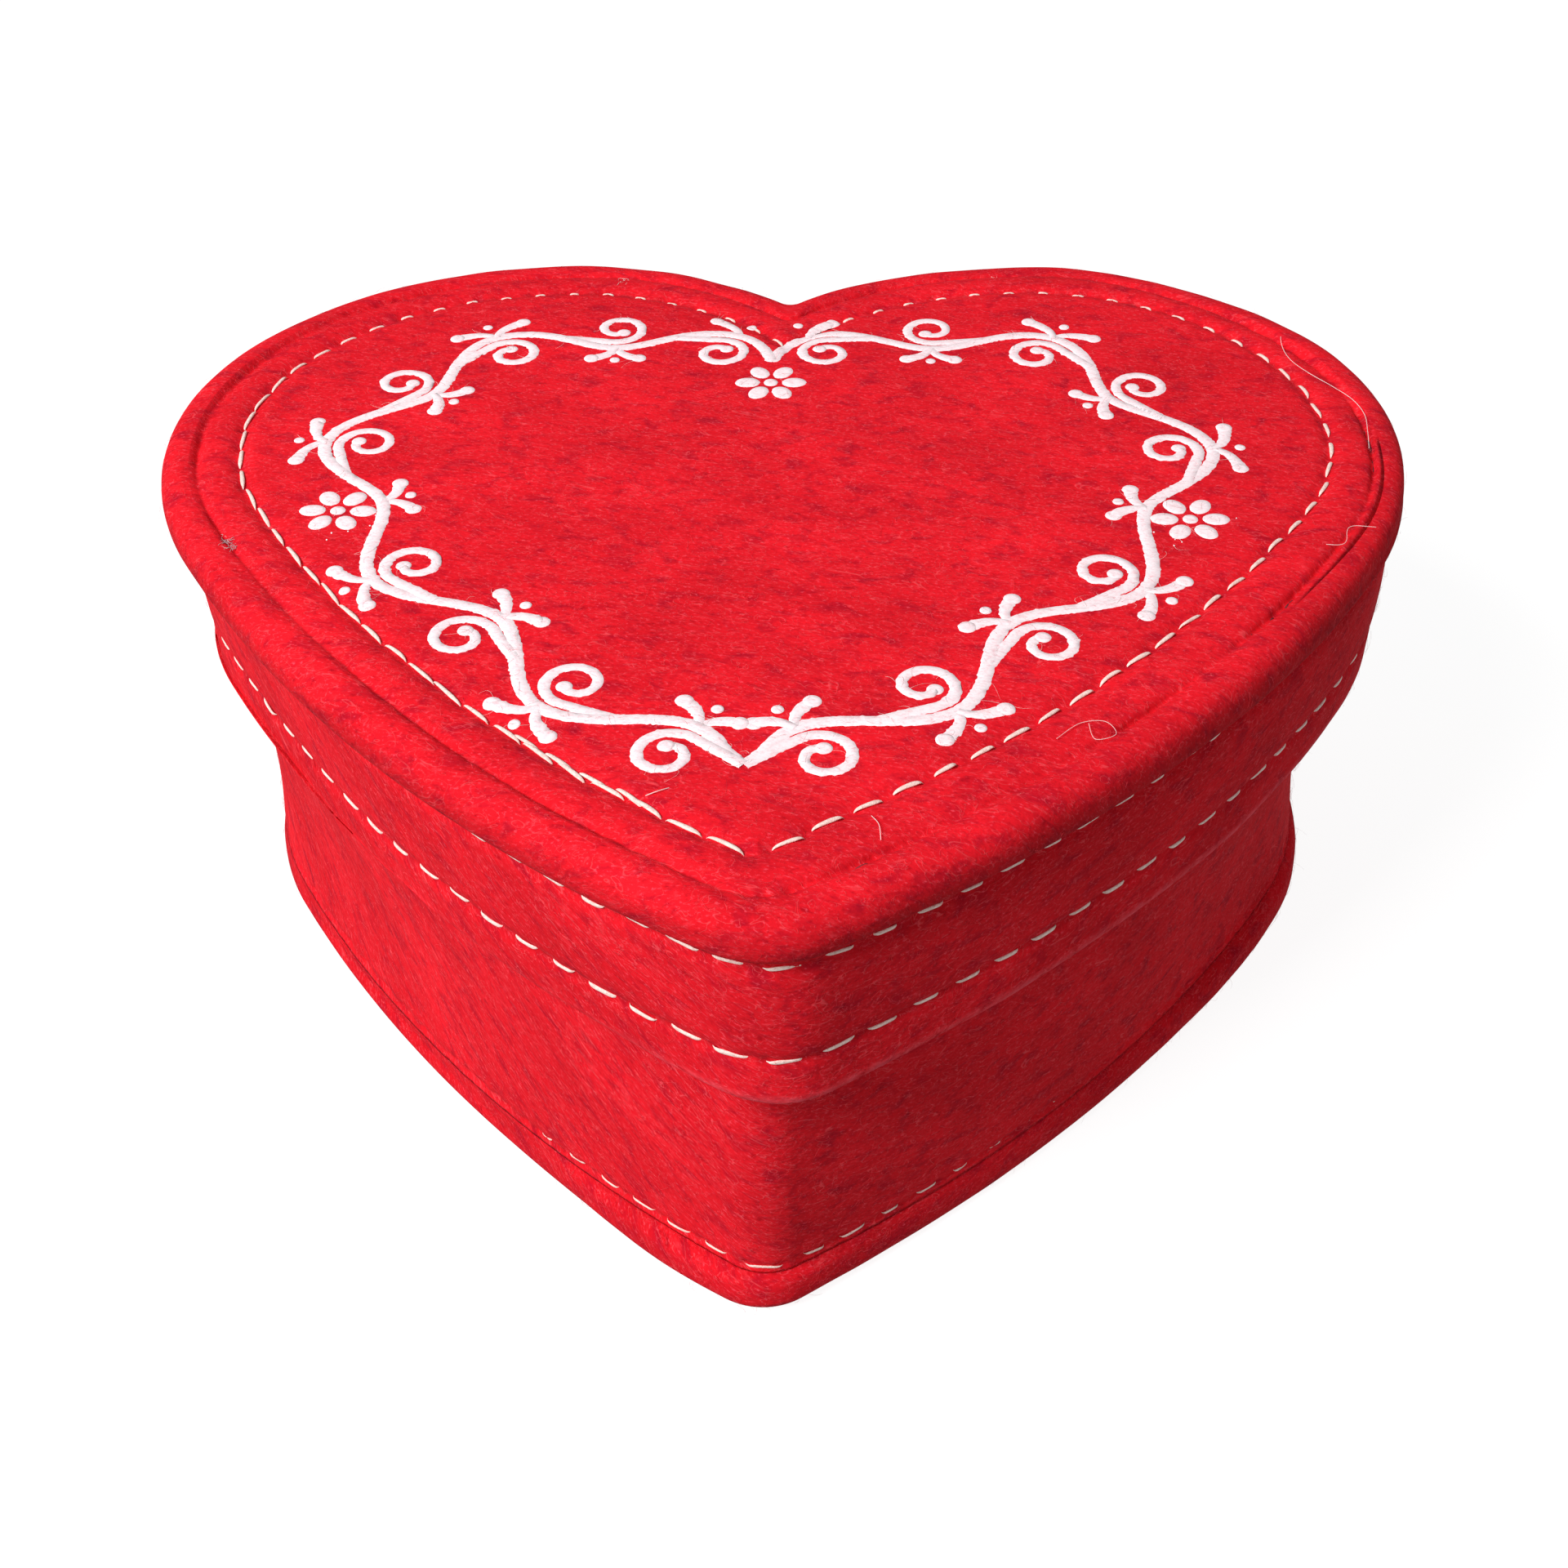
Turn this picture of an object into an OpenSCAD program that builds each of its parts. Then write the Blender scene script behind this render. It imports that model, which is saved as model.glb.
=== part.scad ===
// Heart-shaped felt trinket box with a lift-off lid.
// Lid and box are each a pad and a band of felt over card, joined by rows of running stitch.
// Frame: origin under the middle of the box, on the surface it stands on; +Z up,
// +X to the right, the tip of the heart towards -Y and its cleft towards +Y.

/* [Heart outline] */
// Distance from the centre line to the middle of each lobe
lobe_x = 35.5; // [33:0.5:38]
// Radius of each lobe at the rim of the lid
lobe_r = 54.5; // [50:0.5:58]
// How far behind the origin the lobes' middles lie
lobe_y = 25; // [22:1:28]
// Radius of the long, almost straight side
side_r = 227; // [210:1:250]
// Angle below the lobe's middle where the side takes over from the lobe
side_turn = 32; // [28:1:36]
// Radius of the rounded tip
tip_r = 14; // [12:1:18]

/* [Heights] */
// Height of the closed box
total_h = 75; // [70:1:85]
// Depth of the lid, from its top to its raw lower edge
lid_h = 29; // [25:1:32]
// Height of the lid's padded top
lip_h = 7.5; // [7:0.5:9]
// Height of the padded base
base_h = 6.5; // [6:0.5:10]

/* [Layers] */
// Thickness of the outer felt
felt_t = 2; // [1.5:0.1:2.5]
// Thickness of the card in the lid
lid_board_t = 1; // [0.8:0.1:1.2]
// Thickness of the card in the walls and the top
board_t = 1.5; // [1:0.1:2]
// Thickness of the lining felt
lining_t = 0.5; // [0.4:0.1:0.7]
// How far the lid's lip overhangs its band
lip_overhang = 2; // [1:0.1:3]
// Gap all round between the lid's lining and the wall of the box
lid_gap = 0.7; // [0.5:0.1:1]
// Gap between the top of the wall and the lid above it
rim_gap = 0.3; // [0.2:0.1:0.6]
// How far the base bulges out beyond the wall
base_bulge = 1; // [0.5:0.1:1.5]

/* [Stitching] */
// Distance from one stitch to the next, in the rows on top of the lid
stitch_pitch = 5.5; // [4.5:0.25:7]
// Distance from one stitch to the next, in the rows round the bands
band_pitch = 6; // [4.5:0.25:7]
// Visible length of a stitch
stitch_l = 3.75; // [2.5:0.25:4]
// Thickness of the thread
thread_d = 0.6; // [0.6:0.1:1]
// Distance of the white quilting row from the edge of the lid
quilt_inset = 11.5; // [10:0.5:13]
// Distance of the sunk dark seam from the edge of the lid
groove_inset = 5.5; // [5.5:0.5:7]
// Height of the rim stitches above the lower edge of the lid
rim_row_h = 6.5; // [4:0.5:8]

/* [Print] */
// Thickness of the raised print
print_t = 0.2; // [0.1:0.05:0.3]
// Width of the print's main stem
stem_w = 1.9; // [1.2:0.1:2.2]
// Width of the print's curls
curl_w = 1.6; // [1.1:0.1:1.8]
// How far the print sits to the left of the middle
print_shift = 2.2; // [0:0.1:3]
// Size of the wreath's middle line, as a share of the lid's outline
wreath_share = 0.66; // [0.6:0.01:0.7]
// Swings of the vine's stem, and so its curls, in each half of the wreath
swing_n = 10; // [8:2:12]
// How far the stem swings to each side
swing_w = 4.2; // [3:0.1:5]
// Radius of each curl
curl_r = 4.3; // [3.5:0.1:4.5]
// Length of the leaves outside each swing
leaf_l = 4.4; // [3:0.1:5]
// Radius of the flowers
flower_r = 5.4; // [4.5:0.1:6]

/* [Hidden] */

// Distances in from the lid's outline, from the outside to the inside.
band_in = lip_overhang;
band_board_in = band_in + felt_t;
band_lining_in = band_board_in + lid_board_t;
lid_inside_in = band_lining_in + lining_t;
wall_in = lid_inside_in + lid_gap;
wall_board_in = wall_in + felt_t;
wall_lining_in = wall_board_in + board_t;
inside_in = wall_lining_in + lining_t;
base_in = wall_in - base_bulge;
base_board_in = base_in + felt_t;

// Heights of the layers in the lid, from the top down.
felt_top_z = total_h - print_t;
lid_wadding_top_z = felt_top_z - felt_t;
lip_z = total_h - lip_h;
turn_in_t = 1.5;
lid_board_z = lip_z + turn_in_t;
lid_wadding_z = lid_board_z + board_t;
lid_lining_z = lid_board_z - lining_t;
lid_edge_z = total_h - lid_h;
lid_board_edge_z = lid_edge_z + 1;

// Heights of the layers in the box, from the bottom up.
base_board_z = felt_t;
base_wadding_z = base_board_z + board_t;
floor_z = base_h - turn_in_t;
floor_top_z = floor_z + lining_t;
wall_top_z = lid_lining_z - rim_gap;
rim_turn_z = wall_top_z - felt_t;

// Heights of the four rows of stitches on the bands.
upper_row_z = lip_z - 1.2;
rim_row_z = lid_edge_z + rim_row_h;
bottom_row_z = base_h + 1.2;
wall_rim_row_z = wall_top_z - 5;

seam_w = 1.6;
seam_depth = 0.5;
join_slit = 0.3;
join_pitch = 6;
backtack_n = 5;
cut = 1;
curl_gap = 1.9;
curl_turn = 400;
leaf_w = 2;
berry_d = 1.8;
flower_swing = 4;
petal_n = 6;

felt_red = "#c8141e";
lining_red = "#b5121b";
thread_white = "#f2e9e4";
thread_dark = "#4a2226";
card_grey = "#9a9184";
wadding_white = "#e9e6df";

// Angles and centres of the arcs that make up one half of the heart, d inside the lid's outline.
side_c = [
    lobe_x + (lobe_r - side_r) * cos(side_turn),
    lobe_y - (lobe_r - side_r) * sin(side_turn)
];
function tip_radius(d) = max(tip_r - d, 1);
function tip_middle(d) =
    side_c.y - sqrt(pow(side_r - d - tip_radius(d), 2) - pow(side_c.x, 2));
function tip_end(d) = atan2(tip_middle(d) - side_c.y, -side_c.x);
function cleft_angle(d) = acos(-lobe_x / (lobe_r - d));
function cleft_y(d) = lobe_y + (lobe_r - d) * sin(cleft_angle(d));

function arc(c, r, from, to, n) =
    [for (i = [0:n - 1]) let (a = from + (to - from) * i / n) c + r * [cos(a), sin(a)]];
function half_heart(d) = concat(
    arc([0, tip_middle(d)], tip_radius(d), -90, tip_end(d), 5),
    arc(side_c, side_r - d, tip_end(d), -side_turn, 20),
    arc([lobe_x, lobe_y], lobe_r - d, -side_turn, cleft_angle(d), 44),
    [[0, cleft_y(d)]]
);
function left_half(points) =
    [for (i = [len(points) - 2:-1:1]) [-points[i].x, points[i].y]];

module heart(d) {
    right = half_heart(d);
    polygon(concat(right, left_half(right)));
}

module slab(d, from_z, to_z) {
    translate([0, 0, from_z]) linear_extrude(to_z - from_z) heart(d);
}

module ring(outer_d, inner_d, from_z, to_z) {
    difference() {
        slab(outer_d, from_z, to_z);
        slab(inner_d, from_z - cut, to_z + cut);
    }
}

// Shallow channel that a row of stitches pulls into the outside of a band.
module band_channel(d, z) {
    ring(d - cut, d + seam_depth, z - seam_w / 2, z + seam_w / 2);
}

// Shallow channel in the top of the lid.
module top_channel(d, depth) {
    ring(d - seam_w / 2, d + seam_w / 2, felt_top_z - depth, felt_top_z + cut);
}

// Places its children at even steps along an arc, with their X axis pointing outwards.
module along_arc(c, r, from, to, pitch) {
    count = round(abs(to - from) / 360 * 2 * PI * r / pitch);
    for (i = [0:count - 1]) {
        a = from + (to - from) * (i + 0.5) / count;
        translate([c.x + r * cos(a), c.y + r * sin(a), 0]) rotate(a) children();
    }
}

module along_heart(d, pitch) {
    tip_pitch = max(pitch, 4);
    along_arc([0, tip_middle(d)], tip_radius(d), -180 - tip_end(d), tip_end(d), tip_pitch)
        children();
    for (side = [0, 1]) mirror([side, 0, 0]) {
        along_arc(side_c, side_r - d, tip_end(d), -side_turn, pitch) children();
        along_arc([lobe_x, lobe_y], lobe_r - d, -side_turn, cleft_angle(d), pitch) children();
    }
}

// Row of running stitches round the outside of a band; each stitch bites into the felt.
module band_row(d, z) {
    bite = 0.2;
    along_heart(d + seam_depth + bite - thread_d / 2, band_pitch)
        translate([0, 0, z]) cube([thread_d, stitch_l, thread_d], center = true);
}

// Row of running stitches in a channel in the top of the lid.
module top_row(d, depth, length) {
    bite = 0.2;
    along_heart(d, stitch_pitch)
        translate([0, 0, felt_top_z - depth - bite + thread_d / 2])
            cube([thread_d, length, thread_d], center = true);
}

// Short cross stitches that close a band where its ends meet in the cleft.
module join_row(d, from_z, to_z) {
    for (z = [from_z:join_pitch:to_z])
        translate([0, cleft_y(d) + 0.4, z]) cube([4, thread_d, thread_d], center = true);
}

module band_slit(from_z, to_z) {
    translate([-join_slit / 2, 0, from_z - cut])
        cube([join_slit, lobe_y + lobe_r, to_z - from_z + 2 * cut]);
}

// A felt-covered pad with a rolled edge; the felt turns in under the wadding and the card.
module rolled_pad(d, h, roll) {
    steps = 4;
    slab(d, roll, h - roll);
    for (i = [0:steps - 1]) {
        low = roll * i / steps;
        high = roll * (i + 1) / steps;
        inset = roll - sqrt(roll * roll - pow((low + high) / 2, 2));
        slab(d + inset, h - roll + low, h - roll + high);
        slab(d + inset, roll - high, roll - low);
    }
}

module lid_top_felt() {
    color(felt_red)
        difference() {
            translate([0, 0, lip_z]) rolled_pad(0, felt_top_z - lip_z, 1.8);
            slab(felt_t, lid_board_z, lid_wadding_top_z);
            slab(lid_inside_in, lip_z - cut, lid_board_z + cut / 2);
            top_channel(quilt_inset, seam_depth);
            top_channel(groove_inset, 2 * seam_depth);
        }
}

module lid_top_wadding() {
    color(wadding_white) slab(felt_t, lid_wadding_z, lid_wadding_top_z);
}

module lid_top_board() {
    color(card_grey) slab(felt_t, lid_board_z, lid_wadding_z);
}

module lid_top_lining() {
    color(lining_red) slab(lid_inside_in, lid_lining_z, lid_board_z);
}

module lid_band_felt() {
    color(felt_red)
        difference() {
            ring(band_in, band_board_in, lid_edge_z, lip_z);
            band_channel(band_in, upper_row_z);
            band_channel(band_in, rim_row_z);
            band_slit(lid_edge_z, lip_z);
        }
}

module lid_band_board() {
    color(card_grey) ring(band_board_in, band_lining_in, lid_board_edge_z, lip_z);
}

module lid_band_lining() {
    color(lining_red) ring(band_lining_in, lid_inside_in, lid_board_edge_z, lip_z);
}

module lid_quilting_stitches() {
    color(thread_white) {
        top_row(quilt_inset, seam_depth, stitch_l);
        lid_backtack();
    }
}

// The row starts and ends beside the tip, where a second run of stitches locks it.
module lid_backtack() {
    d = quilt_inset + 1.1;
    start = tip_end(d);
    step = stitch_pitch / (side_r - d) * 180 / PI;
    mirror([1, 0, 0])
        for (i = [1:backtack_n])
            translate([side_c.x, side_c.y, 0])
                rotate(start + step * i)
                    translate([side_r - d, 0, felt_top_z - 0.1])
                        cube([thread_d / 2, stitch_l, 0.6], center = true);
}

module lid_groove_stitches() {
    color(thread_dark) top_row(groove_inset, 2 * seam_depth, stitch_l);
}

module lid_upper_stitches() {
    color(thread_white) band_row(band_in, upper_row_z);
}

module lid_rim_stitches() {
    color(thread_white) band_row(band_in, rim_row_z);
}

module lid_join_stitches() {
    color(felt_red) join_row(band_in, lid_edge_z + 9.5, lip_z - 4);
}

module wall_felt() {
    color(felt_red)
        difference() {
            union() {
                ring(wall_in, wall_board_in, base_h, rim_turn_z);
                ring(wall_in, inside_in, rim_turn_z, wall_top_z);
            }
            band_channel(wall_in, bottom_row_z);
            band_channel(wall_in, wall_rim_row_z);
            band_slit(base_h, wall_top_z);
        }
}

module wall_board() {
    color(card_grey) ring(wall_board_in, wall_lining_in, floor_top_z, rim_turn_z);
}

module wall_lining() {
    color(lining_red) ring(wall_lining_in, inside_in, floor_top_z, rim_turn_z);
}

module wall_bottom_stitches() {
    color(thread_white) band_row(wall_in, bottom_row_z);
}

module wall_rim_stitches() {
    color(thread_white) band_row(wall_in, wall_rim_row_z);
}

module wall_join_stitches() {
    color(felt_red) join_row(wall_in, base_h + 5, wall_rim_row_z - 4);
}

module bottom_felt() {
    color(felt_red)
        difference() {
            rolled_pad(base_in, base_h, 1.8);
            slab(base_board_in, base_board_z, floor_z);
            slab(wall_board_in, floor_z - cut / 2, base_h + cut);
        }
}

module bottom_board() {
    color(card_grey) slab(base_board_in, base_board_z, base_wadding_z);
}

module bottom_wadding() {
    color(wadding_white) slab(base_board_in, base_wadding_z, floor_z);
}

module floor_lining() {
    color(lining_red) slab(wall_board_in, floor_z, floor_top_z);
}

// --- Print: a wreath of running vine; its stem swings from side to side of a smaller heart. ---

// Lengths of the tip, side and lobe of one half of the lid's outline.
tip_run = tip_r * (90 + tip_end(0)) * PI / 180;
side_run = side_r * (-side_turn - tip_end(0)) * PI / 180;
lobe_run = lobe_r * (cleft_angle(0) + side_turn) * PI / 180;
swing_run = (tip_run + side_run + lobe_run) / swing_n;

// Centre, radius and angle of the outline at a distance s from its tip.
function outline_at(s) =
    s < tip_run ? [[0, tip_middle(0)], tip_r, -90 + s / tip_r * 180 / PI]
    : s < tip_run + side_run ? [side_c, side_r, tip_end(0) + (s - tip_run) / side_r * 180 / PI]
    : [[lobe_x, lobe_y], lobe_r, -side_turn + (s - tip_run - side_run) / lobe_r * 180 / PI];

// Place n swings of the stem from the tip, and the distance out from the wreath's middle line.
function wreath_at(n, out) =
    let (at = outline_at(n * swing_run), dir = [cos(at[2]), sin(at[2])])
        wreath_share * (at[0] + at[1] * dir) + out * dir;

// Tendril that leaves the stem at p, meets the circle (c, r) and winds inwards by turn degrees,
// until its radius is the given share of r.
function tendril(p, c, r, turn, share) =
    let (
        away = p - c,
        start = atan2(away.y, away.x) + sign(turn) * acos(min(1, r / norm(away))),
        n = ceil(abs(turn) / 24)
    )
    concat([p], [for (i = [0:n]) let (a = start + turn * i / n, s = r * (1 - (1 - share) * i / n))
        c + s * [cos(a), sin(a)]]);

function across(p, i) =
    let (d = p[min(i + 1, len(p) - 1)] - p[max(i - 1, 0)]) [-d.y, d.x] / norm(d);

// Ribbon along the points, w0 wide at its start and w1 wide at its end.
module ribbon(p, w0, w1) {
    last = len(p) - 1;
    polygon(concat(
        [for (i = [0:last]) p[i] + across(p, i) * (w0 + (w1 - w0) * i / last) / 2],
        [for (i = [last:-1:0]) p[i] - across(p, i) * (w0 + (w1 - w0) * i / last) / 2]
    ));
}

module curl(p, c, turn) {
    points = tendril(p, c, curl_r, turn, 0.36);
    ribbon(points, curl_w, curl_w * 0.8);
    translate(points[len(points) - 1]) circle(d = curl_w * 1.2, $fn = 12);
}

// Leaf: a stroke bent through one corner point, that swells towards its round end.
function bend(p) =
    [for (i = [0:6]) let (t = i / 6)
        (1 - t) * (1 - t) * p[0] + 2 * t * (1 - t) * p[1] + t * t * p[2]];

module leaf(p) {
    ribbon(bend(p), leaf_w * 0.45, leaf_w * 0.85);
    translate(p[2]) circle(d = leaf_w, $fn = 12);
}

// Plain flower: round petals round a middle.
module flower(c, r) {
    translate(c) {
        circle(r = r * 0.2, $fn = 16);
        for (i = [0:petal_n - 1]) rotate(i * 360 / petal_n)
            translate([r * 0.65, 0]) scale([1, 0.75]) circle(r = r * 0.35, $fn = 20);
    }
}

// One half of the wreath, from the tip to the cleft.
module vine() {
    steps = 12;
    ribbon([for (i = [0:swing_n * steps]) wreath_at(i / steps, -swing_w * sin(i / steps * 180))],
        stem_w, stem_w);
    for (i = [0:swing_n - 1]) {
        side = i % 2 == 0 ? -1 : 1;
        ways = i == swing_n - 1 ? [-1] : [-1, 1];
        middle = wreath_at(i + 0.5, side * (swing_w - curl_gap - curl_r));
        if (i == flower_swing) flower(middle, flower_r);
        else curl(wreath_at(i, 0), middle, side * curl_turn);
        for (way = ways)
            leaf([
                wreath_at(i + 0.5, side * swing_w),
                wreath_at(i + 0.5 + way * 0.05, side * (swing_w + leaf_l * 0.8)),
                wreath_at(i + 0.5 + way * 0.26, side * (swing_w + leaf_l))
            ]);
        translate(wreath_at(i + 0.5, side * (swing_w + leaf_l + berry_d / 2))) circle(d = berry_d, $fn = 12);
    }
}

module lid_print() {
    color(thread_white)
        translate([-print_shift, 0, felt_top_z])
            linear_extrude(print_t)
                union() {
                    vine();
                    mirror([1, 0, 0]) vine();
                    flower(wreath_at(swing_n, 0) - [0, stem_w / 2 + flower_r], flower_r);
                }
}

lid_top_felt();
lid_top_wadding();
lid_top_board();
lid_top_lining();
lid_band_felt();
lid_band_board();
lid_band_lining();
lid_print();
lid_quilting_stitches();
lid_groove_stitches();
lid_upper_stitches();
lid_rim_stitches();
lid_join_stitches();
wall_felt();
wall_board();
wall_lining();
wall_bottom_stitches();
wall_rim_stitches();
wall_join_stitches();
bottom_felt();
bottom_board();
bottom_wadding();
floor_lining();
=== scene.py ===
import math

import bpy
import numpy as np
from mathutils import Matrix, Vector, noise
from mathutils.kdtree import KDTree


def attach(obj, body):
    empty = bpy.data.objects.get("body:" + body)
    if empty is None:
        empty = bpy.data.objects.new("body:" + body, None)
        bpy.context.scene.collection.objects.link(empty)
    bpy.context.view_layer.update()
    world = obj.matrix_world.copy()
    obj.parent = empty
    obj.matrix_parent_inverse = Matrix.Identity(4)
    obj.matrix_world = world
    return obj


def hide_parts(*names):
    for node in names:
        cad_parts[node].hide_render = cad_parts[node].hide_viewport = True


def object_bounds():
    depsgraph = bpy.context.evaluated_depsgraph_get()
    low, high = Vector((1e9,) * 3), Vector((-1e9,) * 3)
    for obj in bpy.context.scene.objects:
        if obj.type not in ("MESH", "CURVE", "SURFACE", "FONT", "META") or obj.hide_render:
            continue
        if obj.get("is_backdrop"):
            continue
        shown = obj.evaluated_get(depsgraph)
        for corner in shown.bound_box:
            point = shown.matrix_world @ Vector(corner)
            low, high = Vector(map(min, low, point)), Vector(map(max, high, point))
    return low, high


# Heart-shaped felt trinket box: the felt, thread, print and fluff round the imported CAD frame.
# Lengths are in millimetres up to the point where a mesh is made, which is in metres.

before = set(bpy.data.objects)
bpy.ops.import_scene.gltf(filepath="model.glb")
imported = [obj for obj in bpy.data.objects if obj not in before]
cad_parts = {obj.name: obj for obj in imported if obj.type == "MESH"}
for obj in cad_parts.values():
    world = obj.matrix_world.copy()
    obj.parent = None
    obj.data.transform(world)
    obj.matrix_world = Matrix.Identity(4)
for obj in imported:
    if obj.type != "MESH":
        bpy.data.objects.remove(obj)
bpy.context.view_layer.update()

MM = 0.001
rng = np.random.default_rng(11)

# Outline of the lid, as in the CAD: two lobes, two long sides and a rounded tip.
LOBE_X, LOBE_Y, LOBE_R = 35.5, 25.0, 54.5
SIDE_R, SIDE_TURN, TIP_R = 227.0, math.radians(32), 14.0
SIDE_C = (
    LOBE_X + (LOBE_R - SIDE_R) * math.cos(SIDE_TURN),
    LOBE_Y - (LOBE_R - SIDE_R) * math.sin(SIDE_TURN),
)

# Heights and insets of the layers, as in the CAD.
FELT_TOP, LIP_Z, LID_EDGE = 74.8, 67.5, 46.0
BASE_H = 6.5
BAND_IN, WALL_IN, BASE_IN = 2.0, 6.2, 5.2
QUILT_IN, GROOVE_IN = 11.5, 5.5
UPPER_ROW, RIM_ROW, BOTTOM_ROW, WALL_RIM_ROW = 66.3, 52.5, 7.7, 63.2
PRINT_SHIFT = np.array([-2.2, 0.0])
STITCH_PITCH, BAND_PITCH = 5.5, 6.0

# Points on each arc of half the heart.
N_TIP, N_SIDE, N_LOBE, N_NOTCH = 20, 140, 240, 12
HALF = N_TIP + N_SIDE + N_LOBE + N_NOTCH
ROUND = 2 * HALF
STAR = np.array([0.0, 10.0])  # every point of the outline is seen from here


# --- The heart ---


def tip_radius(d):
    return max(TIP_R - d, 1.0)


def tip_middle(d):
    return SIDE_C[1] - math.sqrt((SIDE_R - d - tip_radius(d)) ** 2 - SIDE_C[0] ** 2)


def tip_end(d):
    return math.atan2(tip_middle(d) - SIDE_C[1], -SIDE_C[0])


def outline(d, notch=1.2):
    """Points of the heart d inside the lid's outline, from the tip round by the right, and their normals."""
    lobe = LOBE_R - d
    notch_y = LOBE_Y + math.sqrt((lobe + notch) ** 2 - LOBE_X**2)
    meet = math.atan2(notch_y - LOBE_Y, -LOBE_X)
    arcs = (
        ((0, tip_middle(d)), tip_radius(d), -math.pi / 2, tip_end(d), N_TIP, 1),
        (SIDE_C, SIDE_R - d, tip_end(d), -SIDE_TURN, N_SIDE, 1),
        ((LOBE_X, LOBE_Y), lobe, -SIDE_TURN, meet, N_LOBE, 1),
        ((0, notch_y), notch, meet - math.pi, -math.pi / 2, N_NOTCH, -1),
    )
    points, normals = [], []
    for c, r, start, end, count, side in arcs:
        a = start + (end - start) * np.arange(count) / count
        u = np.stack([np.cos(a), np.sin(a)], 1)
        points.append(np.array(c) + r * u)
        normals.append(side * u)
    flip = np.array([-1.0, 1.0])
    p, n = np.vstack(points), np.vstack(normals)
    p = np.vstack([p, [[0, notch_y - notch]], p[:0:-1] * flip])
    n = np.vstack([n, [[0, 1]], n[:0:-1] * flip])
    return p, n


def along(d):
    """Distance from the tip round the heart to each of its points, and to the tip again."""
    p, _ = outline(d)
    step = np.linalg.norm(np.roll(p, -1, 0) - p, axis=1)
    return np.concatenate([[0], np.cumsum(step)])


def inset(x, y):
    """How far a point of the lid lies inside its outline."""
    x = np.abs(x)
    turn = np.arctan2(y - LOBE_Y, x - LOBE_X)
    lobe = LOBE_R - np.hypot(x - LOBE_X, y - LOBE_Y)
    side = SIDE_R - np.hypot(x - SIDE_C[0], y - SIDE_C[1])
    low = (turn < -SIDE_TURN) & (turn > -math.pi * 0.9)
    return np.where(low, side, lobe)


# --- Small helpers ---


def smooth(points, n):
    """Smooth curve through a few points, as rows of an array."""
    p = np.asarray(points, float)
    p = np.vstack([p[:1], p, p[-1:]])
    t = (np.arange(n) / n)[:, None]
    out = []
    for a, b, c, d in zip(p[:-3], p[1:-2], p[2:-1], p[3:]):
        out.append(
            0.5 * (2 * b + (c - a) * t + (2 * a - 5 * b + 4 * c - d) * t**2
                   + (3 * b - a - 3 * c + d) * t**3)
        )
    return np.vstack([*out, p[-1:]])


def hollow(x, middle, width, depth):
    return -depth * np.exp(-(((x - middle) / width) ** 2))


def unit(v):
    return v / np.maximum(np.linalg.norm(v, axis=-1, keepdims=True), 1e-9)


def waves(p, scale, seed):
    """Smooth noise from about -1 to 1 at each point of p; scale is the size of a wave in millimetres."""
    flat = p.reshape(-1, p.shape[-1])
    seed = Vector((seed, 0.37 * seed, -1.3 * seed))
    if flat.shape[1] == 2:
        flat = np.hstack([flat, np.zeros((len(flat), 1))])
    values = [noise.noise(Vector(q) / scale + seed) for q in flat]
    return np.array(values).reshape(p.shape[:-1])


def swell(points, x, y, size, amount):
    """A soft rise or dip round one place in plan."""
    away = (points[..., 0] - x) ** 2 + (points[..., 1] - y) ** 2
    return amount * np.exp(-away / size**2)


def tip_lift(points):
    """The tip of the lid stands a little higher than the rest of its edge."""
    return swell(points, 2, -85, 38, 1.15)


def lid_waves(xy):
    """Unevenness of the padded top of the lid, which stands a little higher at the back right."""
    rise = swell(xy, 52, 62, 34, 0.7) + tip_lift(xy)
    return 0.35 * waves(xy, 34.0, 3.1) + 0.15 * waves(xy, 11.0, 8.2) + rise - 0.1


def quilt_shift(xy):
    """The quilting row runs further in on the right of the tip, and further out at the right back."""
    front = np.clip(xy[..., 0] / 14 + 0.35, 0, 1) * np.clip((22 - xy[..., 1]) / 45, 0, 1)
    return 1.4 * front + swell(xy, 74, 50, 24, -0.8)


def channel(xy):
    """Depth of the channel that the quilting row is drawn down into."""
    d = inset(xy[..., 0], xy[..., 1]) - quilt_shift(xy)
    return hollow(d, QUILT_IN, 1.4, 0.5)


def top_z(xy):
    """Height of the lid's felt, away from its rolled edge."""
    return FELT_TOP + lid_waves(xy) + channel(xy)


# --- Meshes ---


def loft(profile, notch=1.2):
    """Grid of points, one ring of the heart for each (inset, height) of the profile."""
    grid = np.empty((len(profile), ROUND, 3))
    for ring, (d, z) in zip(grid, profile):
        ring[:, :2] = outline(d, notch)[0]
        ring[:, 2] = z
    return grid


def shrink(ring, factors):
    """Rings that close in on the middle of the heart."""
    grid = np.empty((len(factors), ROUND, 3))
    for row, f in zip(grid, factors):
        row[:, :2] = STAR + (ring[:, :2] - STAR) * f
        row[:, 2] = ring[:, 2]
    return grid


def grid_normals(grid, closed=False):
    around = np.roll(grid, -1, 1) - np.roll(grid, 1, 1)
    if closed:
        up = np.roll(grid, -1, 0) - np.roll(grid, 1, 0)
    else:
        up = np.gradient(grid, axis=0)
    return unit(np.cross(around, up))


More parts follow.
